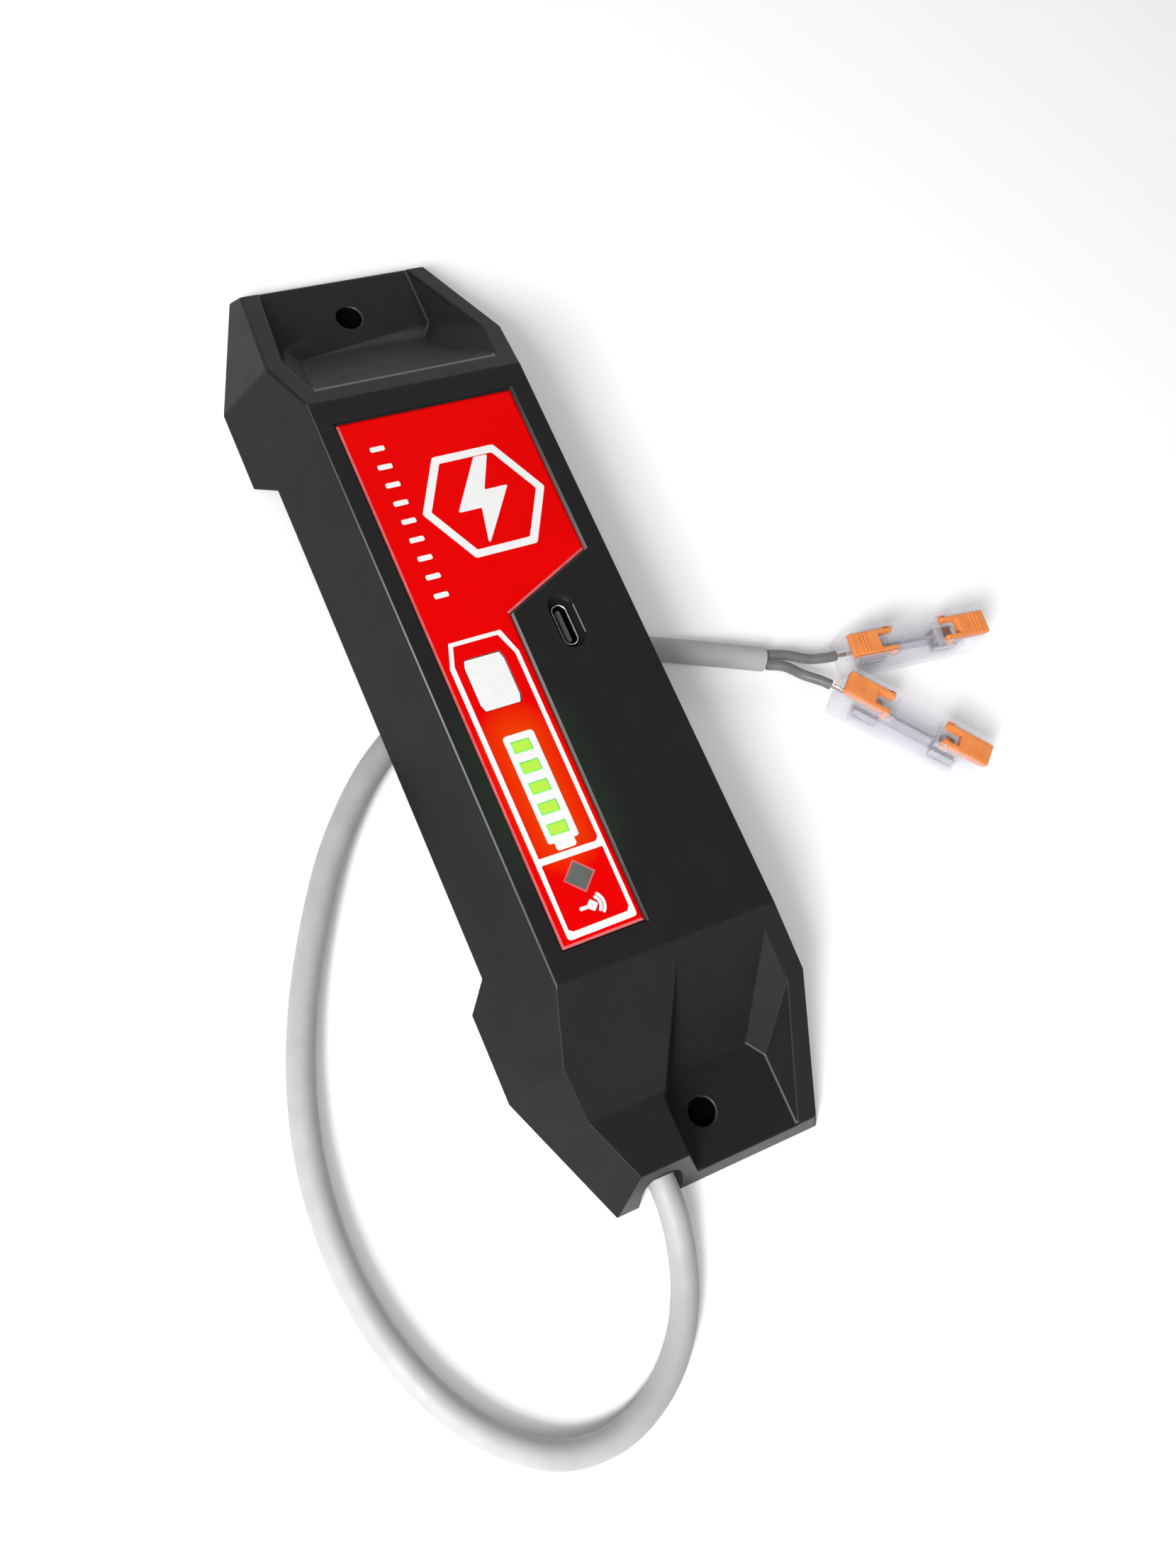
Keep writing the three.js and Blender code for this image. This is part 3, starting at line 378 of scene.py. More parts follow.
# Painted highlight: a bright metal for the inner lip of the sleeve's mouth.
LIP_HIGHLIGHT = plain("sleeve_lip_painted_highlight", (0.85, 0.85, 0.86), (0.92, 0.92, 0.93), 0.36, metallic=1.0, depth=0.001)
TONGUE = plain(
    "tongue_resin", (0.075, 0.075, 0.075), (0.09, 0.09, 0.09), 0.4, size=1.5, depth=0.002,
)
GOLD = plain("contact_gold", (0.78, 0.55, 0.20), (0.88, 0.66, 0.28), 0.22, metallic=1.0, size=0.8)


def lit_green():
    """The light pipe: each lit step is brightest round its rim."""
    material, tree, shader = new_material("lit_green", 0.3, color=(0.08, 0.15, 0.02))
    x, y, _ = object_axes(tree)
    across = maths(tree, "ABSOLUTE", past(tree, x, SEGMENT_X))
    steps = maths(tree, "DIVIDE", past(tree, y, SEGMENT_FIRST_Y), SEGMENT_PITCH)
    off_step = maths(tree, "SUBTRACT", steps, maths(tree, "ROUND", steps))
    along = maths(tree, "MULTIPLY", maths(tree, "ABSOLUTE", off_step), SEGMENT_PITCH)
    from_side = maths(tree, "SUBTRACT", SEGMENT_WIDTH / 2, across)
    from_end = maths(tree, "SUBTRACT", SEGMENT_LENGTH / 2, along)
    rim = maths(tree, "MINIMUM", from_side, from_end)
    uneven = maths(tree, "ADD", rim, maths(tree, "MULTIPLY", object_noise(tree, 0.8), 0.1))
    shine = span(tree, uneven, 0.1, 0.4, 1, 0)
    glow = mix(tree, shine, (0.42, 0.70, 0.045), (0.04, 0.86, 0.07))
    tree.links.new(glow, shader.inputs["Emission Color"])
    shader.inputs["Emission Strength"].default_value = 1.0
    vary_roughness(tree, shader, 1.5, 3, 0.26, 0.36)
    return material


def clear_plastic():
    """Clear, faintly lilac plastic, seen through as a thin shell."""
    material, tree, shader = new_material("clear_plastic", 0.06, specular=0.6)
    tint = ramp(tree, object_noise(tree, 5, 3), (0.66, 0.66, 0.73), (0.74, 0.74, 0.81))
    tree.links.new(tint, shader.inputs["Base Color"])
    tree.links.new(span(tree, edge_mask(tree, 0.35), 0, 1, 0.16, 0.5), shader.inputs["Alpha"])
    vary_roughness(tree, shader, 3, 3, 0.05, 0.12)
    return material


GREEN = lit_green()
CLEAR = clear_plastic()


# ---------- light and floor ----------
WORLD_STRENGTH = 0.24
LIGHTS = [  # name, place in metres, sides in metres, watts
    ("key", (-0.58, -0.34, 0.56), (0.2, 0.3), 7.1),
    ("low_left", (-0.46, -0.34, 0.24), (0.25, 0.25), 2.0),
    ("over_camera", (-0.45, -0.35, 0.95), (0.5, 0.5), 2.0),
    ("low_right", (0.37, -0.62, 0.64), (0.55, 0.55), 1.6),
    ("upper_right", (0.40, 1.05, 0.50), (0.5, 0.4), 3.4),
]
FLOOR_HALF, FLOOR_LEVEL = 6.0, -0.0003  # metres
FLOOR_WHITE = (0.97, 0.97, 0.97)


def area_light(name, place, size, watts):
    """A soft four-sided light that faces the unit."""
    data = bpy.data.lights.new(name, "AREA")
    data.shape = "RECTANGLE"
    data.size, data.size_y = size
    data.energy = watts
    light = bpy.data.objects.new(name, data)
    light.location = place
    light.rotation_mode = "QUATERNION"
    light.rotation_quaternion = Vector(place).to_track_quat("Z", "Y")
    bpy.context.scene.collection.objects.link(light)


def studio():
    scene = bpy.context.scene
    scene.view_settings.view_transform = "Standard"
    world = bpy.data.worlds.new("studio")
    world.use_nodes = True
    background = world.node_tree.nodes["Background"]
    background.inputs["Color"].default_value = (1, 1, 1, 1)
    background.inputs["Strength"].default_value = WORLD_STRENGTH
    scene.world = world
    for light in LIGHTS:
        area_light(*light)

    mesh = bpy.data.meshes.new("floor")
    signs = ((-1, -1), (1, -1), (1, 1), (-1, 1))
    corners = [(x * FLOOR_HALF, y * FLOOR_HALF, FLOOR_LEVEL) for x, y in signs]
    mesh.from_pydata(corners, [], [(0, 1, 2, 3)])
    floor = bpy.data.objects.new("floor", mesh)
    mesh.materials.append(new_material("floor_white", 0.9, specular=0.1, color=FLOOR_WHITE)[0])
    scene.collection.objects.link(floor)


studio()


# ---------- meshes ----------
WELD_DISTANCE = 2e-6  # metres
FLAT_ANGLE = math.radians(0.7)  # faces closer than this in direction are merged
ROUNDED_ANGLE = math.radians(14)  # only edges that turn more than this are rounded
ROUNDING_STEPS = 3


def add_object(name, mesh, materials, body="root"):
    for material in materials:
        mesh.materials.append(material)
    made = bpy.data.objects.new(name, mesh)
    bpy.context.scene.collection.objects.link(made)
    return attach(made, body)


def smooth_faces(mesh, sharp_degrees=35):
    for face in mesh.polygons:
        face.use_smooth = True
    mesh.set_sharp_from_angle(angle=math.radians(sharp_degrees))


def even_normals(made):
    modifier = made.modifiers.new("normals", "WEIGHTED_NORMAL")
    modifier.keep_sharp = True
    modifier.weight = 100


def evaluated(carrier):
    """A carrier object's finished shape as a new mesh. The carrier is removed."""
    graph = bpy.context.evaluated_depsgraph_get()
    mesh = bpy.data.meshes.new_from_object(carrier.evaluated_get(graph))
    bpy.data.objects.remove(carrier)
    return mesh


def bevelled_mesh(name, mesh, width, segments, edge_slot=-1):
    """mesh with its weighted edges rounded, as a new mesh. The roundings take edge_slot."""
    carrier = bpy.data.objects.new(name, mesh)
    bpy.context.scene.collection.objects.link(carrier)
    bevel = carrier.modifiers.new("edges", "BEVEL")
    bevel.width = width * MM
    bevel.segments = segments
    bevel.limit_method = "WEIGHT"
    bevel.use_clamp_overlap = False
    bevel.material = edge_slot
    made = evaluated(carrier)
    made.name = name
    return made


def merged_shape(cad_node):
    """A CAD node's shape, with the triangles of each flat face merged."""
    shape = bmesh.new()
    shape.from_mesh(NODES[cad_node].data)
    bmesh.ops.remove_doubles(shape, verts=shape.verts, dist=WELD_DISTANCE)
    bmesh.ops.dissolve_limit(shape, angle_limit=FLAT_ANGLE, verts=shape.verts, edges=shape.edges)
    return shape


def edge_middle(edge):
    """The middle of an edge, in mm."""
    return (edge.verts[0].co + edge.verts[1].co) / 2 / MM


def rounded_copy(cad_node, name, width, materials, weigh=None, body="root", edge_slot=-1):
    """A new piece in place of a CAD node, with each edge rounded by width mm times its weight."""
    shape = merged_shape(cad_node)
    weight = shape.edges.layers.float.new("bevel_weight_edge")
    for edge in shape.edges:
        if len(edge.link_faces) == 2 and edge.calc_face_angle() > ROUNDED_ANGLE:
            edge[weight] = weigh(edge_middle(edge)) if weigh else 1.0
    mesh = bpy.data.meshes.new(name)
    shape.to_mesh(mesh)
    shape.free()
    mesh.materials.clear()
    for material in materials:
        mesh.materials.append(material)
    made = add_object(name, bevelled_mesh(name, mesh, width, ROUNDING_STEPS, edge_slot), [], body)
    smooth_faces(made.data)
    even_normals(made)
    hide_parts(cad_node)
    return made


# ---------- case ----------
CASE_EDGE = 0.5
CASE_FINISHES = [CASE, HIGHLIGHT_EDGE, SHADED_HOLE, HIGHLIGHT_RIM, LIT_END]
CASE_SLOT, HIGHLIGHT_EDGE_SLOT, SHADED_HOLE_SLOT, HIGHLIGHT_RIM_SLOT, LIT_END_SLOT = range(5)


def over_foil_recess(x, y):
    """Whether a place is over the foil's recess or the port's, rims included."""
    return abs(x) < 19.6 and abs(y) < 56


def from_hole(x, y):
    """Distance from the axis of the nearer screw hole."""
    return math.hypot(x, abs(y) - HOLE_Y)


def case_edge_weight(middle):
    """How much of CASE_EDGE an edge of the case is rounded by."""
    x, y, z = middle
    if abs(x) < 28 and abs(y) < 60.2 and 6.3 < z < 20.5:
        return 0.0  # inside the case
    if from_hole(x, y) < HOLE_RADIUS + 0.2:
        return 0.6  # the rim of a screw hole
    if abs(z - RECESS_FLOOR) < 0.15 and 2 < x < 21 and 62 < abs(y) < 100:
        return 0.6  # the right half of a screw recess's floor
    if z > 5 and y < -62:
        return 0.45  # the slope and the cable block
    if z > 19.5 and over_foil_recess(x, y):
        return 0.35  # the foil's recess and the port's
    if z < 6.3 and abs(x) < 27 and 57.5 < abs(y) < 98:
        return 0.0  # the pockets behind the feet
    return 1.0


def painted_highlight_slot(middle, normal):
    """The material slot of a rounding: a painted highlight on the long left front edge, on the
    left-facing rims of the foil and port recesses, on the upper recess's rim and on the left-facing
    floor edges of the screw recesses; case plastic elsewhere.
    """
    x, y, z = middle
    faces_left = normal.x < -0.15
    if x < -21.5 and z > 20.3 and abs(y) < 62:  # the long left front edge
        return HIGHLIGHT_EDGE_SLOT if -0.72 < normal.x < -0.3 else CASE_SLOT
    if z > 20.4 and over_foil_recess(x, y):
        in_port_ends = 4 < x < 14 and 3.4 < abs(y - PORT_Y) < 7
        return HIGHLIGHT_EDGE_SLOT if faces_left and not in_port_ends else CASE_SLOT
    if z > 14 and 62.5 < y < 70 and abs(x) < 19.5 and normal.y > 0.1:  # the upper recess's rim
        return HIGHLIGHT_RIM_SLOT
    near_floor = 3.2 < z < 4.8 and 66 < abs(y) < 99
    return HIGHLIGHT_RIM_SLOT if near_floor and faces_left and normal.z > 0.2 else CASE_SLOT


def case():
    shell = rounded_copy(
        "front_housing", "case_shell", CASE_EDGE, CASE_FINISHES, case_edge_weight,
        edge_slot=HIGHLIGHT_EDGE_SLOT,
    )
    for face in shell.data.polygons:
        x, y, z = face.center / MM
        in_hole = z < 3.2 and from_hole(x, y) < HOLE_RADIUS + 0.05 and face.normal.z > -0.5
        foil_wall = z > 20.6 and over_foil_recess(x, y) and abs(x - PORT_X) > 4.5
        end_face = abs(face.normal.y) > 0.85 and abs(y) > 95 and face.area > 4 * MM ** 2
        # The hole webs take the nearly black finish, as painted shade.
        if in_hole:
            face.material_index = SHADED_HOLE_SLOT
        elif face.material_index == HIGHLIGHT_EDGE_SLOT:
            face.material_index = painted_highlight_slot((x, y, z), face.normal)
        # The foil recess's left-facing walls take the painted highlight finish too.
        elif foil_wall and face.normal.x < -0.9:
            face.material_index = HIGHLIGHT_EDGE_SLOT
        # The end faces take the lighter copy, as painted light.
        elif end_face:
            face.material_index = LIT_END_SLOT


case()


# ---------- flat shapes ----------
def turned(points, degrees=0.0, centre=(0.0, 0.0)):
    """Points about the origin, turned and moved to centre."""
    c, s = math.cos(math.radians(degrees)), math.sin(math.radians(degrees))
    return [(centre[0] + x * c - y * s, centre[1] + x * s + y * c) for x, y in points]


def box_outline(width, length, centre=(0.0, 0.0), degrees=0.0):
    x, y = width / 2, length / 2
    return turned([(x, -y), (x, y), (-x, y), (-x, -y)], degrees, centre)


def rounded(points, radius, steps=5):
    """A closed outline with its corners turned into arcs, by one radius or by one for each."""
    radii = radius if isinstance(radius, (list, tuple)) else [radius] * len(points)
    outline = []
    for i, (corner, reach) in enumerate(zip(points, radii)):
        here = Vector(corner)
        back = Vector(points[i - 1]) - here
        ahead = Vector(points[(i + 1) % len(points)]) - here
        half = back.angle(ahead) / 2
        if reach <= 0 or half > math.radians(89):
            outline.append(tuple(here))
            continue
        cut = min(reach / math.tan(half), back.length / 2.05, ahead.length / 2.05)
        start, stop = here + back.normalized() * cut, here + ahead.normalized() * cut
        inwards = (back.normalized() + ahead.normalized()).normalized()
        middle = here + inwards * (cut / math.cos(half))
        first, last = start - middle, stop - middle
        turn = first.angle_signed(last)
        for step in range(steps + 1):
            arm = first.copy()
            arm.rotate(Matrix.Rotation(-turn * step / steps, 2))
            outline.append(tuple(middle + arm))
    return outline


def polar(centre, radius, angle):
    """The point at a radius and an angle in radians from centre."""
    return (centre[0] + radius * math.cos(angle), centre[1] + radius * math.sin(angle))


def arc_band(centre, inner, outer, start, stop, steps=14, cap_steps=6):
    """A curved stroke with round ends, its angles in degrees."""
    outline = []
    for radius, first, last in ((outer, start, stop), (inner, stop, start)):
        for step in range(steps + 1):
            angle = math.radians(first + (last - first) * step / steps)
            outline.append(polar(centre, radius, angle))
        end = math.radians(last)
        tip = polar(centre, (outer + inner) / 2, end)
        for step in range(1, cap_steps):
            angle = end + (0 if radius == outer else math.pi) + math.pi * step / cap_steps
            outline.append(polar(tip, (outer - inner) / 2, angle))
    return outline


def circle(radius, centre=(0.0, 0.0), steps=32):
    return [polar(centre, radius, math.tau * step / steps) for step in range(steps)]


def stadium(width, length, centre, steps=14):
    """A slot outline with round ends, long along Y."""
    reach = (length - width) / 2
    outline = []
    for side, first in ((1, 0), (-1, math.pi)):
        middle = (centre[0], centre[1] + side * reach)
        for step in range(steps + 1):
            outline.append(polar(middle, width / 2, first + math.pi * step / steps))
    return outline


def plate_mesh(name, outlines, low, high):
    """Outlines raised from low to high. An outline inside another is a hole in it."""
    curve = bpy.data.curves.new(name, "CURVE")
    curve.dimensions = "2D"
    curve.fill_mode = "BOTH"
    curve.extrude = (high - low) / 2
    for outline in outlines:
        spline = curve.splines.new("POLY")
        spline.points.add(len(outline) - 1)
        spline.use_cyclic_u = True
        for point, (x, y) in zip(spline.points, outline):
            point.co = (x, y, 0, 1)
    carrier = bpy.data.objects.new(name, curve)
    bpy.context.scene.collection.objects.link(carrier)
    mesh = evaluated(carrier)
    mesh.transform(Matrix.Translation((0, 0, (low + high) / 2)))
    shape = bmesh.new()
    shape.from_mesh(mesh)
    bmesh.ops.remove_doubles(shape, verts=shape.verts, dist=1e-4)
    bmesh.ops.recalc_face_normals(shape, faces=shape.faces)
    shape.to_mesh(mesh)
    shape.free()
    mesh.transform(Matrix.Scale(MM, 4))
    mesh.materials.clear()
    mesh.name = name
    return mesh


def joined(name, meshes):
    """One mesh from several."""
    shape = bmesh.new()
    for mesh in meshes:
        shape.from_mesh(mesh)
    whole = bpy.data.meshes.new(name)
    shape.to_mesh(whole)
    shape.free()
    return whole


def plate(name, outlines, low, high, material):
    made = add_object(name, plate_mesh(name, outlines, low, high), [material])
    return made


# ---------- front panel ----------
PRINT_THICKNESS = 0.03
FOIL_SLOPE_WIDTH, FOIL_SLOPE_DROP = 0.5, 0.22
STATUS_WINDOW = (-10.5, -43.75)


def printed(name, outlines):
    """White ink on the foil."""
    return plate(name, outlines, FOIL_TOP - 0.01, FOIL_TOP + PRINT_THICKNESS, PRINT)


def foil():
    """The printed foil, with a sloped rim round its outline whose faces towards -X and -Y take a
    lighter pink as a painted highlight, and a pale bezel of that pink round its window.
    """
    shape = merged_shape("label_foil")
    top = [face for face in shape.faces if face.normal.z > 0.9]
    bands = bmesh.ops.inset_region(
        shape, faces=top, thickness=FOIL_SLOPE_WIDTH * MM, use_even_offset=True,
    )["faces"]
    inner = {vertex for face in top for vertex in face.verts}
    for vertex in {vertex for face in bands for vertex in face.verts} - inner:
        x, y, _ = vertex.co / MM
        at_window = -15.5 < x < -5.5 and -47.6 < y < 2.6
        if not at_window:
            vertex.co.z -= FOIL_SLOPE_DROP * MM
    mesh = bpy.data.meshes.new("foil_panel")
    shape.to_mesh(mesh)
    shape.free()
    mesh.materials.clear()
    made = add_object("foil_panel", mesh, [FOIL, FOIL_EDGE_HIGHLIGHT])
    # Painted highlight: the slope faces that face -X or -Y take the lighter pink.
    for face in mesh.polygons:
        if face.normal.z < 0.97 and min(face.normal.x, face.normal.y) < -0.2:
            face.material_index = 1
    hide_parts("label_foil")
    corners = ((0, 1), (-1, 0), (0, -1), (1, 0))
    diamonds = [
        turned([(x * reach, y * reach) for x, y in corners], 0, STATUS_WINDOW)
        for reach in (3.3, 2.85)
    ]
    plate("status_bezel", diamonds, FOIL_TOP - 0.1, FOIL_TOP + 0.02, FOIL_EDGE_HIGHLIGHT)


FRAME_OUTER = [
    (-15.8, 5.8), (-5.0, 5.8), (-3.2, 0.7), (-3.2, -54.1), (-17.4, -54.2), (-17.5, 0.7),
]
FRAME_UPPER_CELL = [
    (-15.15, 4.95), (-5.9, 4.95), (-4.1, 0.58), (-4.1, -37.9), (-4.75, -38.65), (-16.4, -38.5),
    (-16.45, 1.0),
]
FRAME_LOWER_CELL = [
    (-16.45, -39.85), (-3.98, -39.95), (-4.05, -51.9), (-4.75, -52.75), (-15.8, -52.85),
    (-16.6, -52.3),
]


def panel_frame():
    printed("print_frame", [
        rounded(FRAME_OUTER, [0.1, 0.1, 0.1, 0.7, 0.7, 0.1]),
        rounded(FRAME_UPPER_CELL, 0.12),
        rounded(FRAME_LOWER_CELL, 0.12),
    ])


BATTERY_ICON = [
    (-13.55, -14.7), (-13.55, -36.6), (-12.4, -36.6), (-12.4, -38.2),
    (-8.35, -38.2), (-8.35, -36.6), (-7.2, -36.6), (-7.2, -14.7),
]
BATTERY_ICON_RADII = [0.8, 0.8, 0.1, 0.6, 0.6, 0.1, 0.8, 0.8]


def gauge_icon():
    size = (SEGMENT_WIDTH + 0.1, SEGMENT_LENGTH + 0.1)
    windows = [
        box_outline(*size, (SEGMENT_X, SEGMENT_FIRST_Y - i * SEGMENT_PITCH))
        for i in range(SEGMENT_COUNT)
    ]
    printed("print_battery", [rounded(BATTERY_ICON, BATTERY_ICON_RADII), *windows])


PICTOGRAM = (-10.6, -49.58)


def pictogram():
    """A hand-held sender with two waves."""
    x, y = PICTOGRAM
    head = rounded(box_outline(1.75, 1.75, (x + 0.1, y), 45), 0.3)
    grip = [(x - 0.9, y - 0.36), (x - 0.9, y + 0.36), (x - 2.5, y + 0.36), (x - 2.5, y - 0.36)]
    printed("print_sender_head", [head, circle(0.12, (x + 0.1, y), 12)])
    printed("print_sender_grip", [rounded(grip, [0, 0, 0.34, 0.34])])
    printed("print_wave_1", [arc_band(PICTOGRAM, 1.42, 2.02, -46, 46)])
    printed("print_wave_2", [arc_band(PICTOGRAM, 2.16, 2.76, -44, 44)])


EMBLEM = (3.2, 32.6)
EMBLEM_RADIUS, EMBLEM_STROKE = 13.2, 1.9
BAR_X, BAR_FIRST_Y, BAR_PITCH, BAR_COUNT = -13.1, 15.6, 4.1, 9
BOLT = [(1.6, 9.6), (-6.2, -1.4), (-1.2, -1.4), (-3.0, -9.6), (6.0, 2.2), (0.9, 2.2), (4.6, 9.6)]


def emblem():
    """A plain bolt in a six-sided ring, and a row of plain bars beside it."""
    outer = rounded(circle(EMBLEM_RADIUS, EMBLEM, 6), 0.8)
    inner = rounded(circle(EMBLEM_RADIUS - EMBLEM_STROKE, EMBLEM, 6), 0.5)
    bolt = rounded(turned(BOLT, 0, EMBLEM), 0.25)
    printed("print_emblem", [outer, inner, bolt])
    places = [(BAR_X, BAR_FIRST_Y + BAR_PITCH * i) for i in range(BAR_COUNT)]
    printed("print_bars", [rounded(box_outline(3.0, 1.1, place), 0.35) for place in places])


foil()
panel_frame()
gauge_icon()
pictogram()
emblem()

for node_name, piece, width, finish, slot_name, body in (
    ("test_key", "key_cap", 0.22, WHITE, "white_plastic", "test_key"),
    ("gauge_light_pipe", "gauge_lenses", 0.06, GREEN, "green_window", "root"),
    ("status_lens", "status_window", 0.1, LENS, "grey_window", "root"),
):
    rounded_copy(node_name, piece, width, [finish], body=body)


# ---------- charge port ----------
PORT_CENTRE = (PORT_X, PORT_Y)
PORT_FLOOR = 13.8
LIP_ROUNDING = 0.22
CONTACTS_IN_ROW, CONTACT_PITCH, CONTACT_OFFSET = 12, 0.5, 0.38


def port_sleeve(bore):
    """A rolled metal sleeve with a rounded mouth, its metal darkened as painted shade and the lip
    inside its mouth bright as a painted highlight. bore is its inner width and length.
    """
    rims = [stadium(SHELL_WIDTH, SHELL_LENGTH, PORT_CENTRE), stadium(*bore, PORT_CENTRE)]
    blank = plate_mesh("port_sleeve", rims, PORT_FLOOR, PORT_MOUTH)
    shape = bmesh.new()
    shape.from_mesh(blank)
    weight = shape.edges.layers.float.new("bevel_weight_edge")
    for edge in shape.edges:
        x, y, z = edge_middle(edge)
        along = max(abs(y - PORT_Y) - (SHELL_LENGTH - SHELL_WIDTH) / 2, 0)
        inside = math.hypot(x - PORT_X, along) < bore[0] / 2 + 0.05
        level = abs(edge.verts[0].co.z - edge.verts[1].co.z) < 1e-6
        if level and inside and z > PORT_MOUTH - 0.01:
            edge[weight] = 1.0
    shape.to_mesh(blank)
    shape.free()
    for material in (SHADED_SLEEVE, LIP_HIGHLIGHT):
        blank.materials.append(material)
    mesh = bevelled_mesh("port_sleeve", blank, LIP_ROUNDING, 4, edge_slot=1)
    sleeve = add_object("port_sleeve", mesh, [])
    smooth_faces(sleeve.data, 40)
    even_normals(sleeve)
    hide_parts("port_shell")


def port_contacts():
    """Two rows of gold strips on the tongue."""
    first = (CONTACTS_IN_ROW - 1) / 2
    places = [
        (PORT_X + side * CONTACT_OFFSET, PORT_Y + (i - first) * CONTACT_PITCH)
        for side in (1, -1) for i in range(CONTACTS_IN_ROW)
    ]
    strips = [
        plate_mesh("strip", [box_outline(0.06, 0.26, place)], 15.8, PORT_MOUTH - 1.5)
        for place in places
    ]
    contacts = add_object("port_contacts", joined("port_contacts", strips), [GOLD])


def charge_port():
    """A metal sleeve round a tongue with two rows of contacts."""
    bore = (SHELL_WIDTH - 2 * SHELL_WALL, SHELL_LENGTH - 2 * SHELL_WALL)
    port_sleeve(bore)
    floor = [stadium(bore[0] - 0.02, bore[1] - 0.02, PORT_CENTRE)]
    plate("port_floor", floor, PORT_FLOOR + 0.05, PORT_FLOOR + 0.65, BLACK)
    base = plate("port_base", [stadium(1.9, 7.6, PORT_CENTRE)], 14.7, 15.7, BLACK)
    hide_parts("port_tongue")
    blade = rounded(box_outline(0.75, 6.7, PORT_CENTRE), 0.15)
    plate("port_blade", [blade], 15.2, PORT_MOUTH - 0.7, TONGUE)
    port_contacts()


charge_port()

# ---------- output cable ----------
CABLE_ROUTE = [
    (-13.2, -99.4, 4.9), (-13.3, -103.5, 4.5), (-14.0, -109.5, 3.3), (-16.2, -116.5, 2.65),
    (-20.6, -123.6, 2.6), (-27.8, -129.9, 2.6), (-37.2, -133.4, 2.6), (-47.4, -132.2, 2.6),
    (-56.6, -125.5, 2.6), (-63.8, -115.2, 2.6), (-68.4, -103.0, 2.6), (-70.6, -89.5, 2.6),
    (-70.2, -75.5, 2.6), (-67.4, -61.5, 2.6), (-62.2, -47.5, 2.6), (-54.6, -33.2, 2.6),
    (-44.6, -18.6, 2.6), (-31.4, -5.8, 2.6), (-16.0, 2.2, 2.6), (0.0, 5.2, 2.6),
    (16.0, 4.2, 2.6), (31.0, 0.4, 2.6), (44.0, -4.6, 2.6), (55.8, -9.4, 2.6),
]
SHEATH_START = Vector((-13.2, -96.3, 4.9))
INNER_ROUTE = [
    (-13.2, -96.35, 4.9), (-13.2, -94, 4.93), (-13.2, -88, 5.2),
    (-13.2, -80, 5.5), (-13.2, -72, 5.5), (-13.2, -68.3, 5.5),
]
cable_line = [SHEATH_START, *smooth_line(CABLE_ROUTE)]
cable = round_tubes("output_cable", [cable_line], CABLE_RADIUS, SHEATH)
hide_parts("power_cable")
inner_cable = round_tubes("inner_cable", [smooth_line(INNER_ROUTE)], CABLE_RADIUS, SHEATH)
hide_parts("cable_inside")


# ---------- leads and splices ----------
SPLICES = [  # turn is in degrees; start and via are places on the splice's lead
    {
        "middle": (90.6, -16.2), "turn": -6.2,
        "start": (56.9, -8.5), "via": [(61.3, -10.45), (65.6, -12.6)],
    },
    {
        "middle": (80.2, -34.2), "turn": -47.0,
        "start": (56.0, -10.8), "via": [(59.4, -12.6), (62.8, -15.7)],
    },
]
BARE_LENGTH = 1.6
LEAD_END = -SPLICE_LENGTH / 2 - BARE_LENGTH
VIA_HEIGHT = 3.4
STRAND_LAY = 9  # length of one twist
STRAND_STEPS = 24


def on_axis(place, along, z):
    """A point on a splice's long axis."""
    angle = math.radians(place["turn"])
    x, y = place["middle"]
    return (x + along * math.cos(angle), y + along * math.sin(angle), z)


def splice_frame(place):
    """From a splice's own frame, with its levers on the +Y side, to the unit's."""
    middle = Vector((*place["middle"], SPLICE_HEIGHT / 2)) * MM
    facing = Matrix.Rotation(math.radians(place["turn"] + 180), 4, "Z")
    return Matrix.Translation(middle) @ facing @ Matrix.Rotation(math.pi / 2, 4, "X")


def lead_wire(index, place):
    """The insulated core from the cable's end to its splice."""
    middle_z = SPLICE_HEIGHT / 2
    route = [
        (*place["start"], CABLE_RADIUS), *[(x, y, VIA_HEIGHT) for x, y in place["via"]],
        on_axis(place, LEAD_END - 2, middle_z - 0.2), on_axis(place, LEAD_END, middle_z),
    ]
    wire = round_tubes(f"core_{index}", [smooth_line(route, 8)], CORE_RADIUS, CORE)
    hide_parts(f"lead_{index}")
    return wire


def strands(index, place):
    """Six strands twisted round a seventh."""
    first, last = LEAD_END + 0.05, -SPLICE_LENGTH / 2 + 6
    radius = BUNDLE_RADIUS / 3
    angle = math.radians(place["turn"])
    side = Vector((-math.sin(angle), math.cos(angle), 0))
    lines = []
    for strand in range(7):
        line = []
        for step in range(STRAND_STEPS + 1):
            along = first + (last - first) * step / STRAND_STEPS
            turn = math.tau * (strand / 6 + (along - first) / STRAND_LAY)
            off = 0 if strand == 6 else 2 * radius
            centre = Vector(on_axis(place, along, SPLICE_HEIGHT / 2))
            rise = Vector((0, 0, off * math.sin(turn)))
            line.append(centre + side * (off * math.cos(turn)) + rise)
        lines.append(line)
    bundle = round_tubes(f"strands_{index}", lines, radius, COPPER, resolution=2)
    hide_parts(f"conductor_{index}")
    return bundle


def bent_strip(profile, thickness, low, high):
    """A strip of sheet metal: an open XY profile, given thickness and raised from low to high."""
    points = [Vector(p) for p in profile]
    left, right = [], []
    for i, point in enumerate(points):
        before, after = points[max(i - 1, 0)], points[min(i + 1, len(points) - 1)]
        along = (after - before).normalized()
        across = Vector((-along.y, along.x)) * (thickness / 2)
        left.append(tuple(point + across))
        right.append(tuple(point - across))
    return plate_mesh("strip", [left + right[::-1]], low, high)


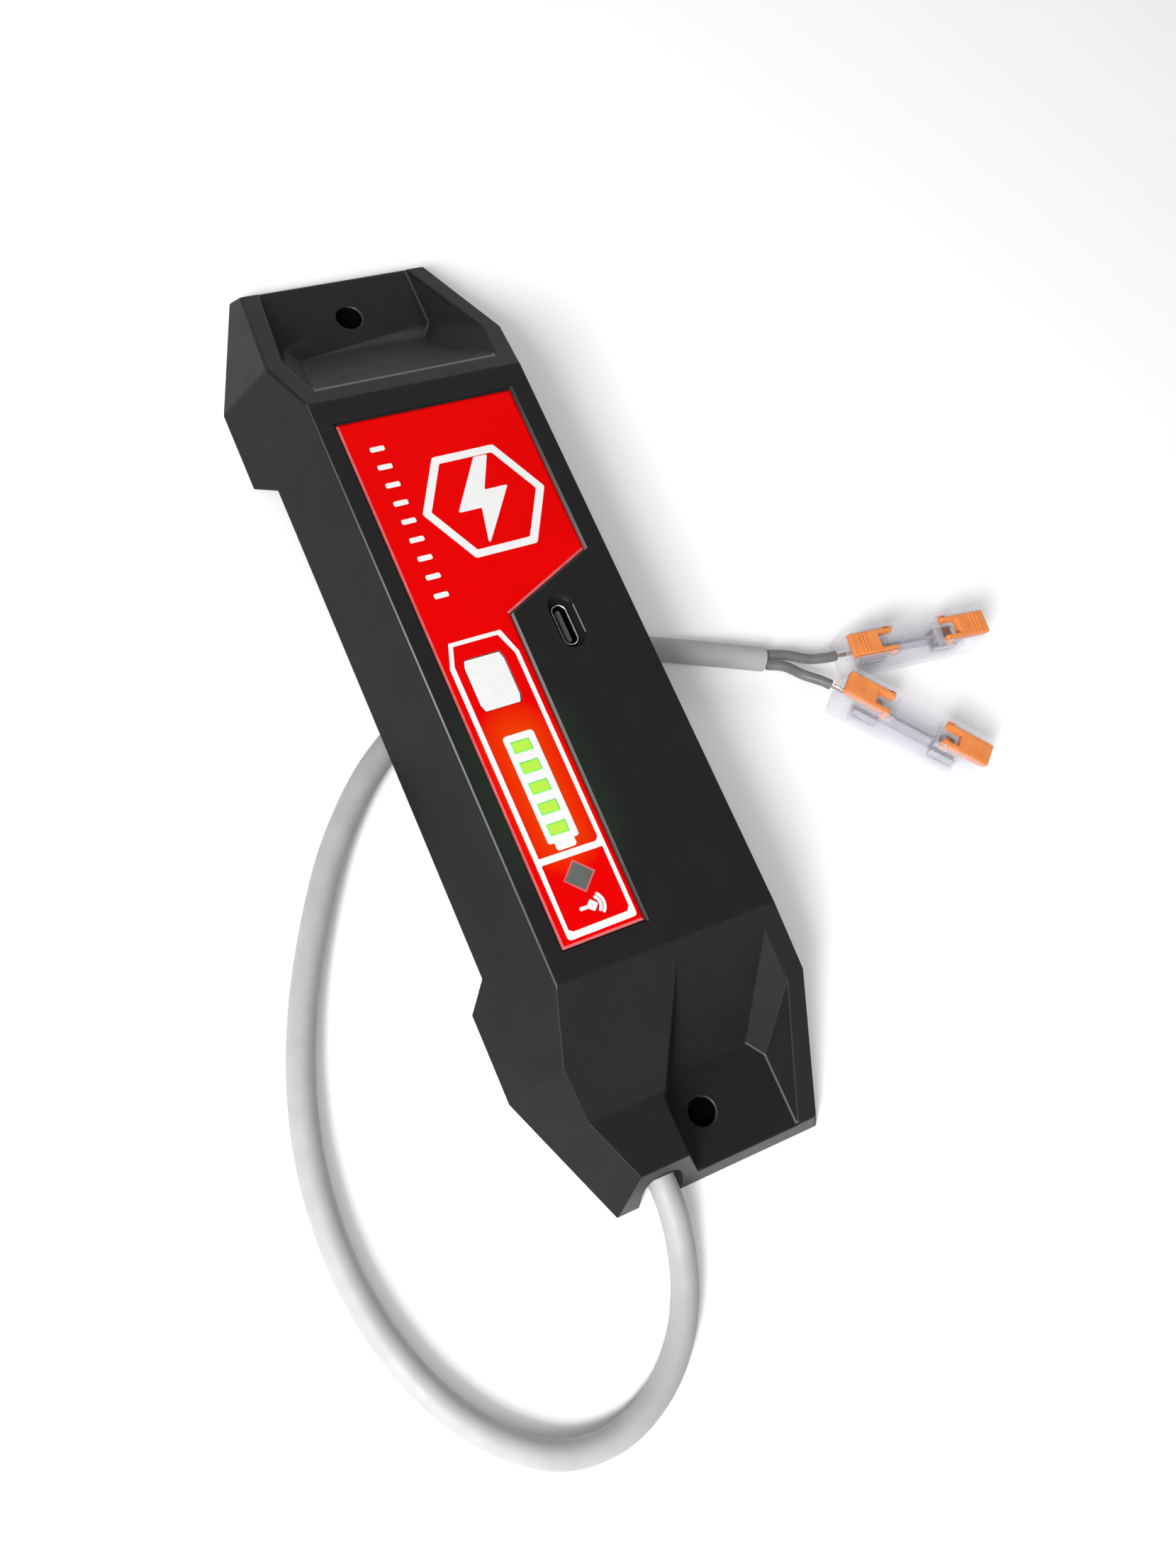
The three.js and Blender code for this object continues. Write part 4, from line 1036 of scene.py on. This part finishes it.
# A contact set in its splice's own frame, where the middle of the splice is the origin.
FOOT_X, FOOT_LENGTH, FOOT_HALF_WIDTH = 9.45, 5.9, 2.2
SPRING_X, SPRING_THICKNESS, SPRING_HALF_WIDTH = 8.55, 0.35, 1.3


def spring_loop():
    """A clamp spring's profile: a flat foot, a half turn and the blade that grips the wire."""
    loop = [(3.2, -2.7), (0.4, -2.6)]
    for step in range(9):
        angle = math.radians(-90 - 180 * step / 8)
        loop.append((0.2 + 1.95 * math.cos(angle), -0.55 + 2.05 * math.sin(angle)))
    return [*loop, (1.4, 1.3), (2.9, -0.7)]


def contact_set(index, place):
    """A rail on edge between two flanged feet, each with a looped clamp spring over it."""
    strips = [plate_mesh("rail", [rounded(box_outline(14, 3.8, (0, -1.5)), 0.5)], -0.4, 0.4)]
    for end in (1, -1):
        foot = box_outline(FOOT_LENGTH, 0.6, (end * FOOT_X, -3.1))
        strips.append(plate_mesh("foot", [foot], -FOOT_HALF_WIDTH, FOOT_HALF_WIDTH))
        flange = rounded(box_outline(FOOT_LENGTH, 2.6, (end * FOOT_X, -2.1)), 0.5)
        for side in (2.0, -2.0):
            strips.append(plate_mesh("flange", [flange], side - 0.2, side + 0.2))
        profile = [(end * (SPRING_X + x), y) for x, y in spring_loop()]
        strips.append(bent_strip(profile, SPRING_THICKNESS, -SPRING_HALF_WIDTH, SPRING_HALF_WIDTH))
    mesh = joined(f"contact_{index}", strips)
    mesh.transform(splice_frame(place))
    contact = add_object(mesh.name, mesh, [TIN])
    smooth_faces(contact.data, 50)
    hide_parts(f"splice_{index}_contact")
    return contact


def lever_edge_weight(place, pin):
    """Rounds a lever's edges, less where its pins leave it. The pins stay plain."""
    to_splice = splice_frame(place).inverted()

    def weigh(middle):
        from_pin = ((to_splice @ (middle * MM)).xy / MM - Vector(pin)).length
        if from_pin < 0.85:
            return 0.0
        return 0.35 if from_pin < 1.6 else 1.0

    return weigh


RIB_COUNT, RIB_FIRST, RIB_PITCH, RIB_HEIGHT = 3, 6.4, 0.9, 1.05  # places are from the lever's pin


def lever_piece(index, end, place):
    """An orange lever with rounded edges and a ribbed grip."""
    name = f"splice_{index}_{end}_lever"
    sign = 1 if end == "lead" else -1
    ribs = []
    for i in range(RIB_COUNT):
        middle = (sign * (LEVER_PIVOT + RIB_FIRST + i * RIB_PITCH), LEVER_PIN_Y + RIB_HEIGHT)
        ribs.append(plate_mesh("rib", [rounded(box_outline(0.4, 0.34, middle), 0.12)], -2.3, 2.3))
        ribs[-1].transform(splice_frame(place))
    round_by = lever_edge_weight(place, (sign * LEVER_PIVOT, LEVER_PIN_Y))
    made = rounded_copy(name, f"lever_{index}_{end}", 0.3, [ORANGE], round_by, body=name)
    made.data = joined(made.name, [made.data, *ribs])
    made.data.materials.append(ORANGE)
    smooth_faces(made.data, 40)
    return made


def splice_edge_weight(place):
    """Rounds a splice body's outside edges, and the rims of its slots less, but no inner edge."""
    to_splice = splice_frame(place).inverted()

    def weigh(middle):
        x, y, z = to_splice @ (middle * MM) / MM
        at_end = abs(x) > SPLICE_LENGTH / 2 - 0.75
        at_side = abs(z) > SPLICE_WIDTH / 2 - 0.1
        at_base = y < 0.75 - SPLICE_HEIGHT / 2
        if at_end or at_side or at_base:
            return 1.0
        return 0.5 if y > SPLICE_HEIGHT / 2 - 0.1 else 0.0

    return weigh


for index, place in enumerate(SPLICES, 1):
    lead_wire(index, place)
    strands(index, place)
    round_by = splice_edge_weight(place)
    shell = rounded_copy(f"splice_{index}_housing", f"splice_body_{index}", 0.3, [CLEAR], round_by)
    contact_set(index, place)
    for end in ("lead", "load"):
        lever_piece(index, end, place)

# ---------- the rest of the CAD nodes ----------
SCREW_COUNTS = {"cover": 6, "board": 4, "clamp": 2}
SCREWS = [f"{kind}_screw_{i + 1}" for kind, count in SCREW_COUNTS.items() for i in range(count)]
FINISHES = [
    (CASE, ["back_cover", "cable_clamp"]),
    (RUBBER, ["cover_seal", "cable_grommet", "cell_pad"]),
    (WHITE, ["light_shroud", "battery_plug"]),
    (RESIN, ["switch_body", "switch_plunger", "terminal_block", "battery_lead_minus"]),
    (STEEL, ["radio_module", *SCREWS]),
    (CORE, ["inner_core_1", "inner_core_2"]),
    (BOARD, ["circuit_board", "protection_board"]),
    (POUCH, ["battery_cell_1", "battery_cell_2"]),
    (RED_WIRE, ["battery_lead_plus"]),
    (LED_RESIN, ["status_led", *[f"gauge_led_{i + 1}" for i in range(SEGMENT_COUNT)]]),
]
MOULDINGS = [
    ("back_cover", 0.3, CASE, "case_plastic"),
    ("cable_clamp", 0.25, CASE, "case_plastic"),
    ("cable_grommet", 0.3, RUBBER, "soft_seal"),
]
for finish, names in FINISHES:
    for name in names:
        mesh = NODES[name].data
        mesh.materials.clear()
        mesh.materials.append(finish)
for name, width, finish, slot_name in MOULDINGS:
    rounded_copy(name, f"{name}_moulding", width, [finish])
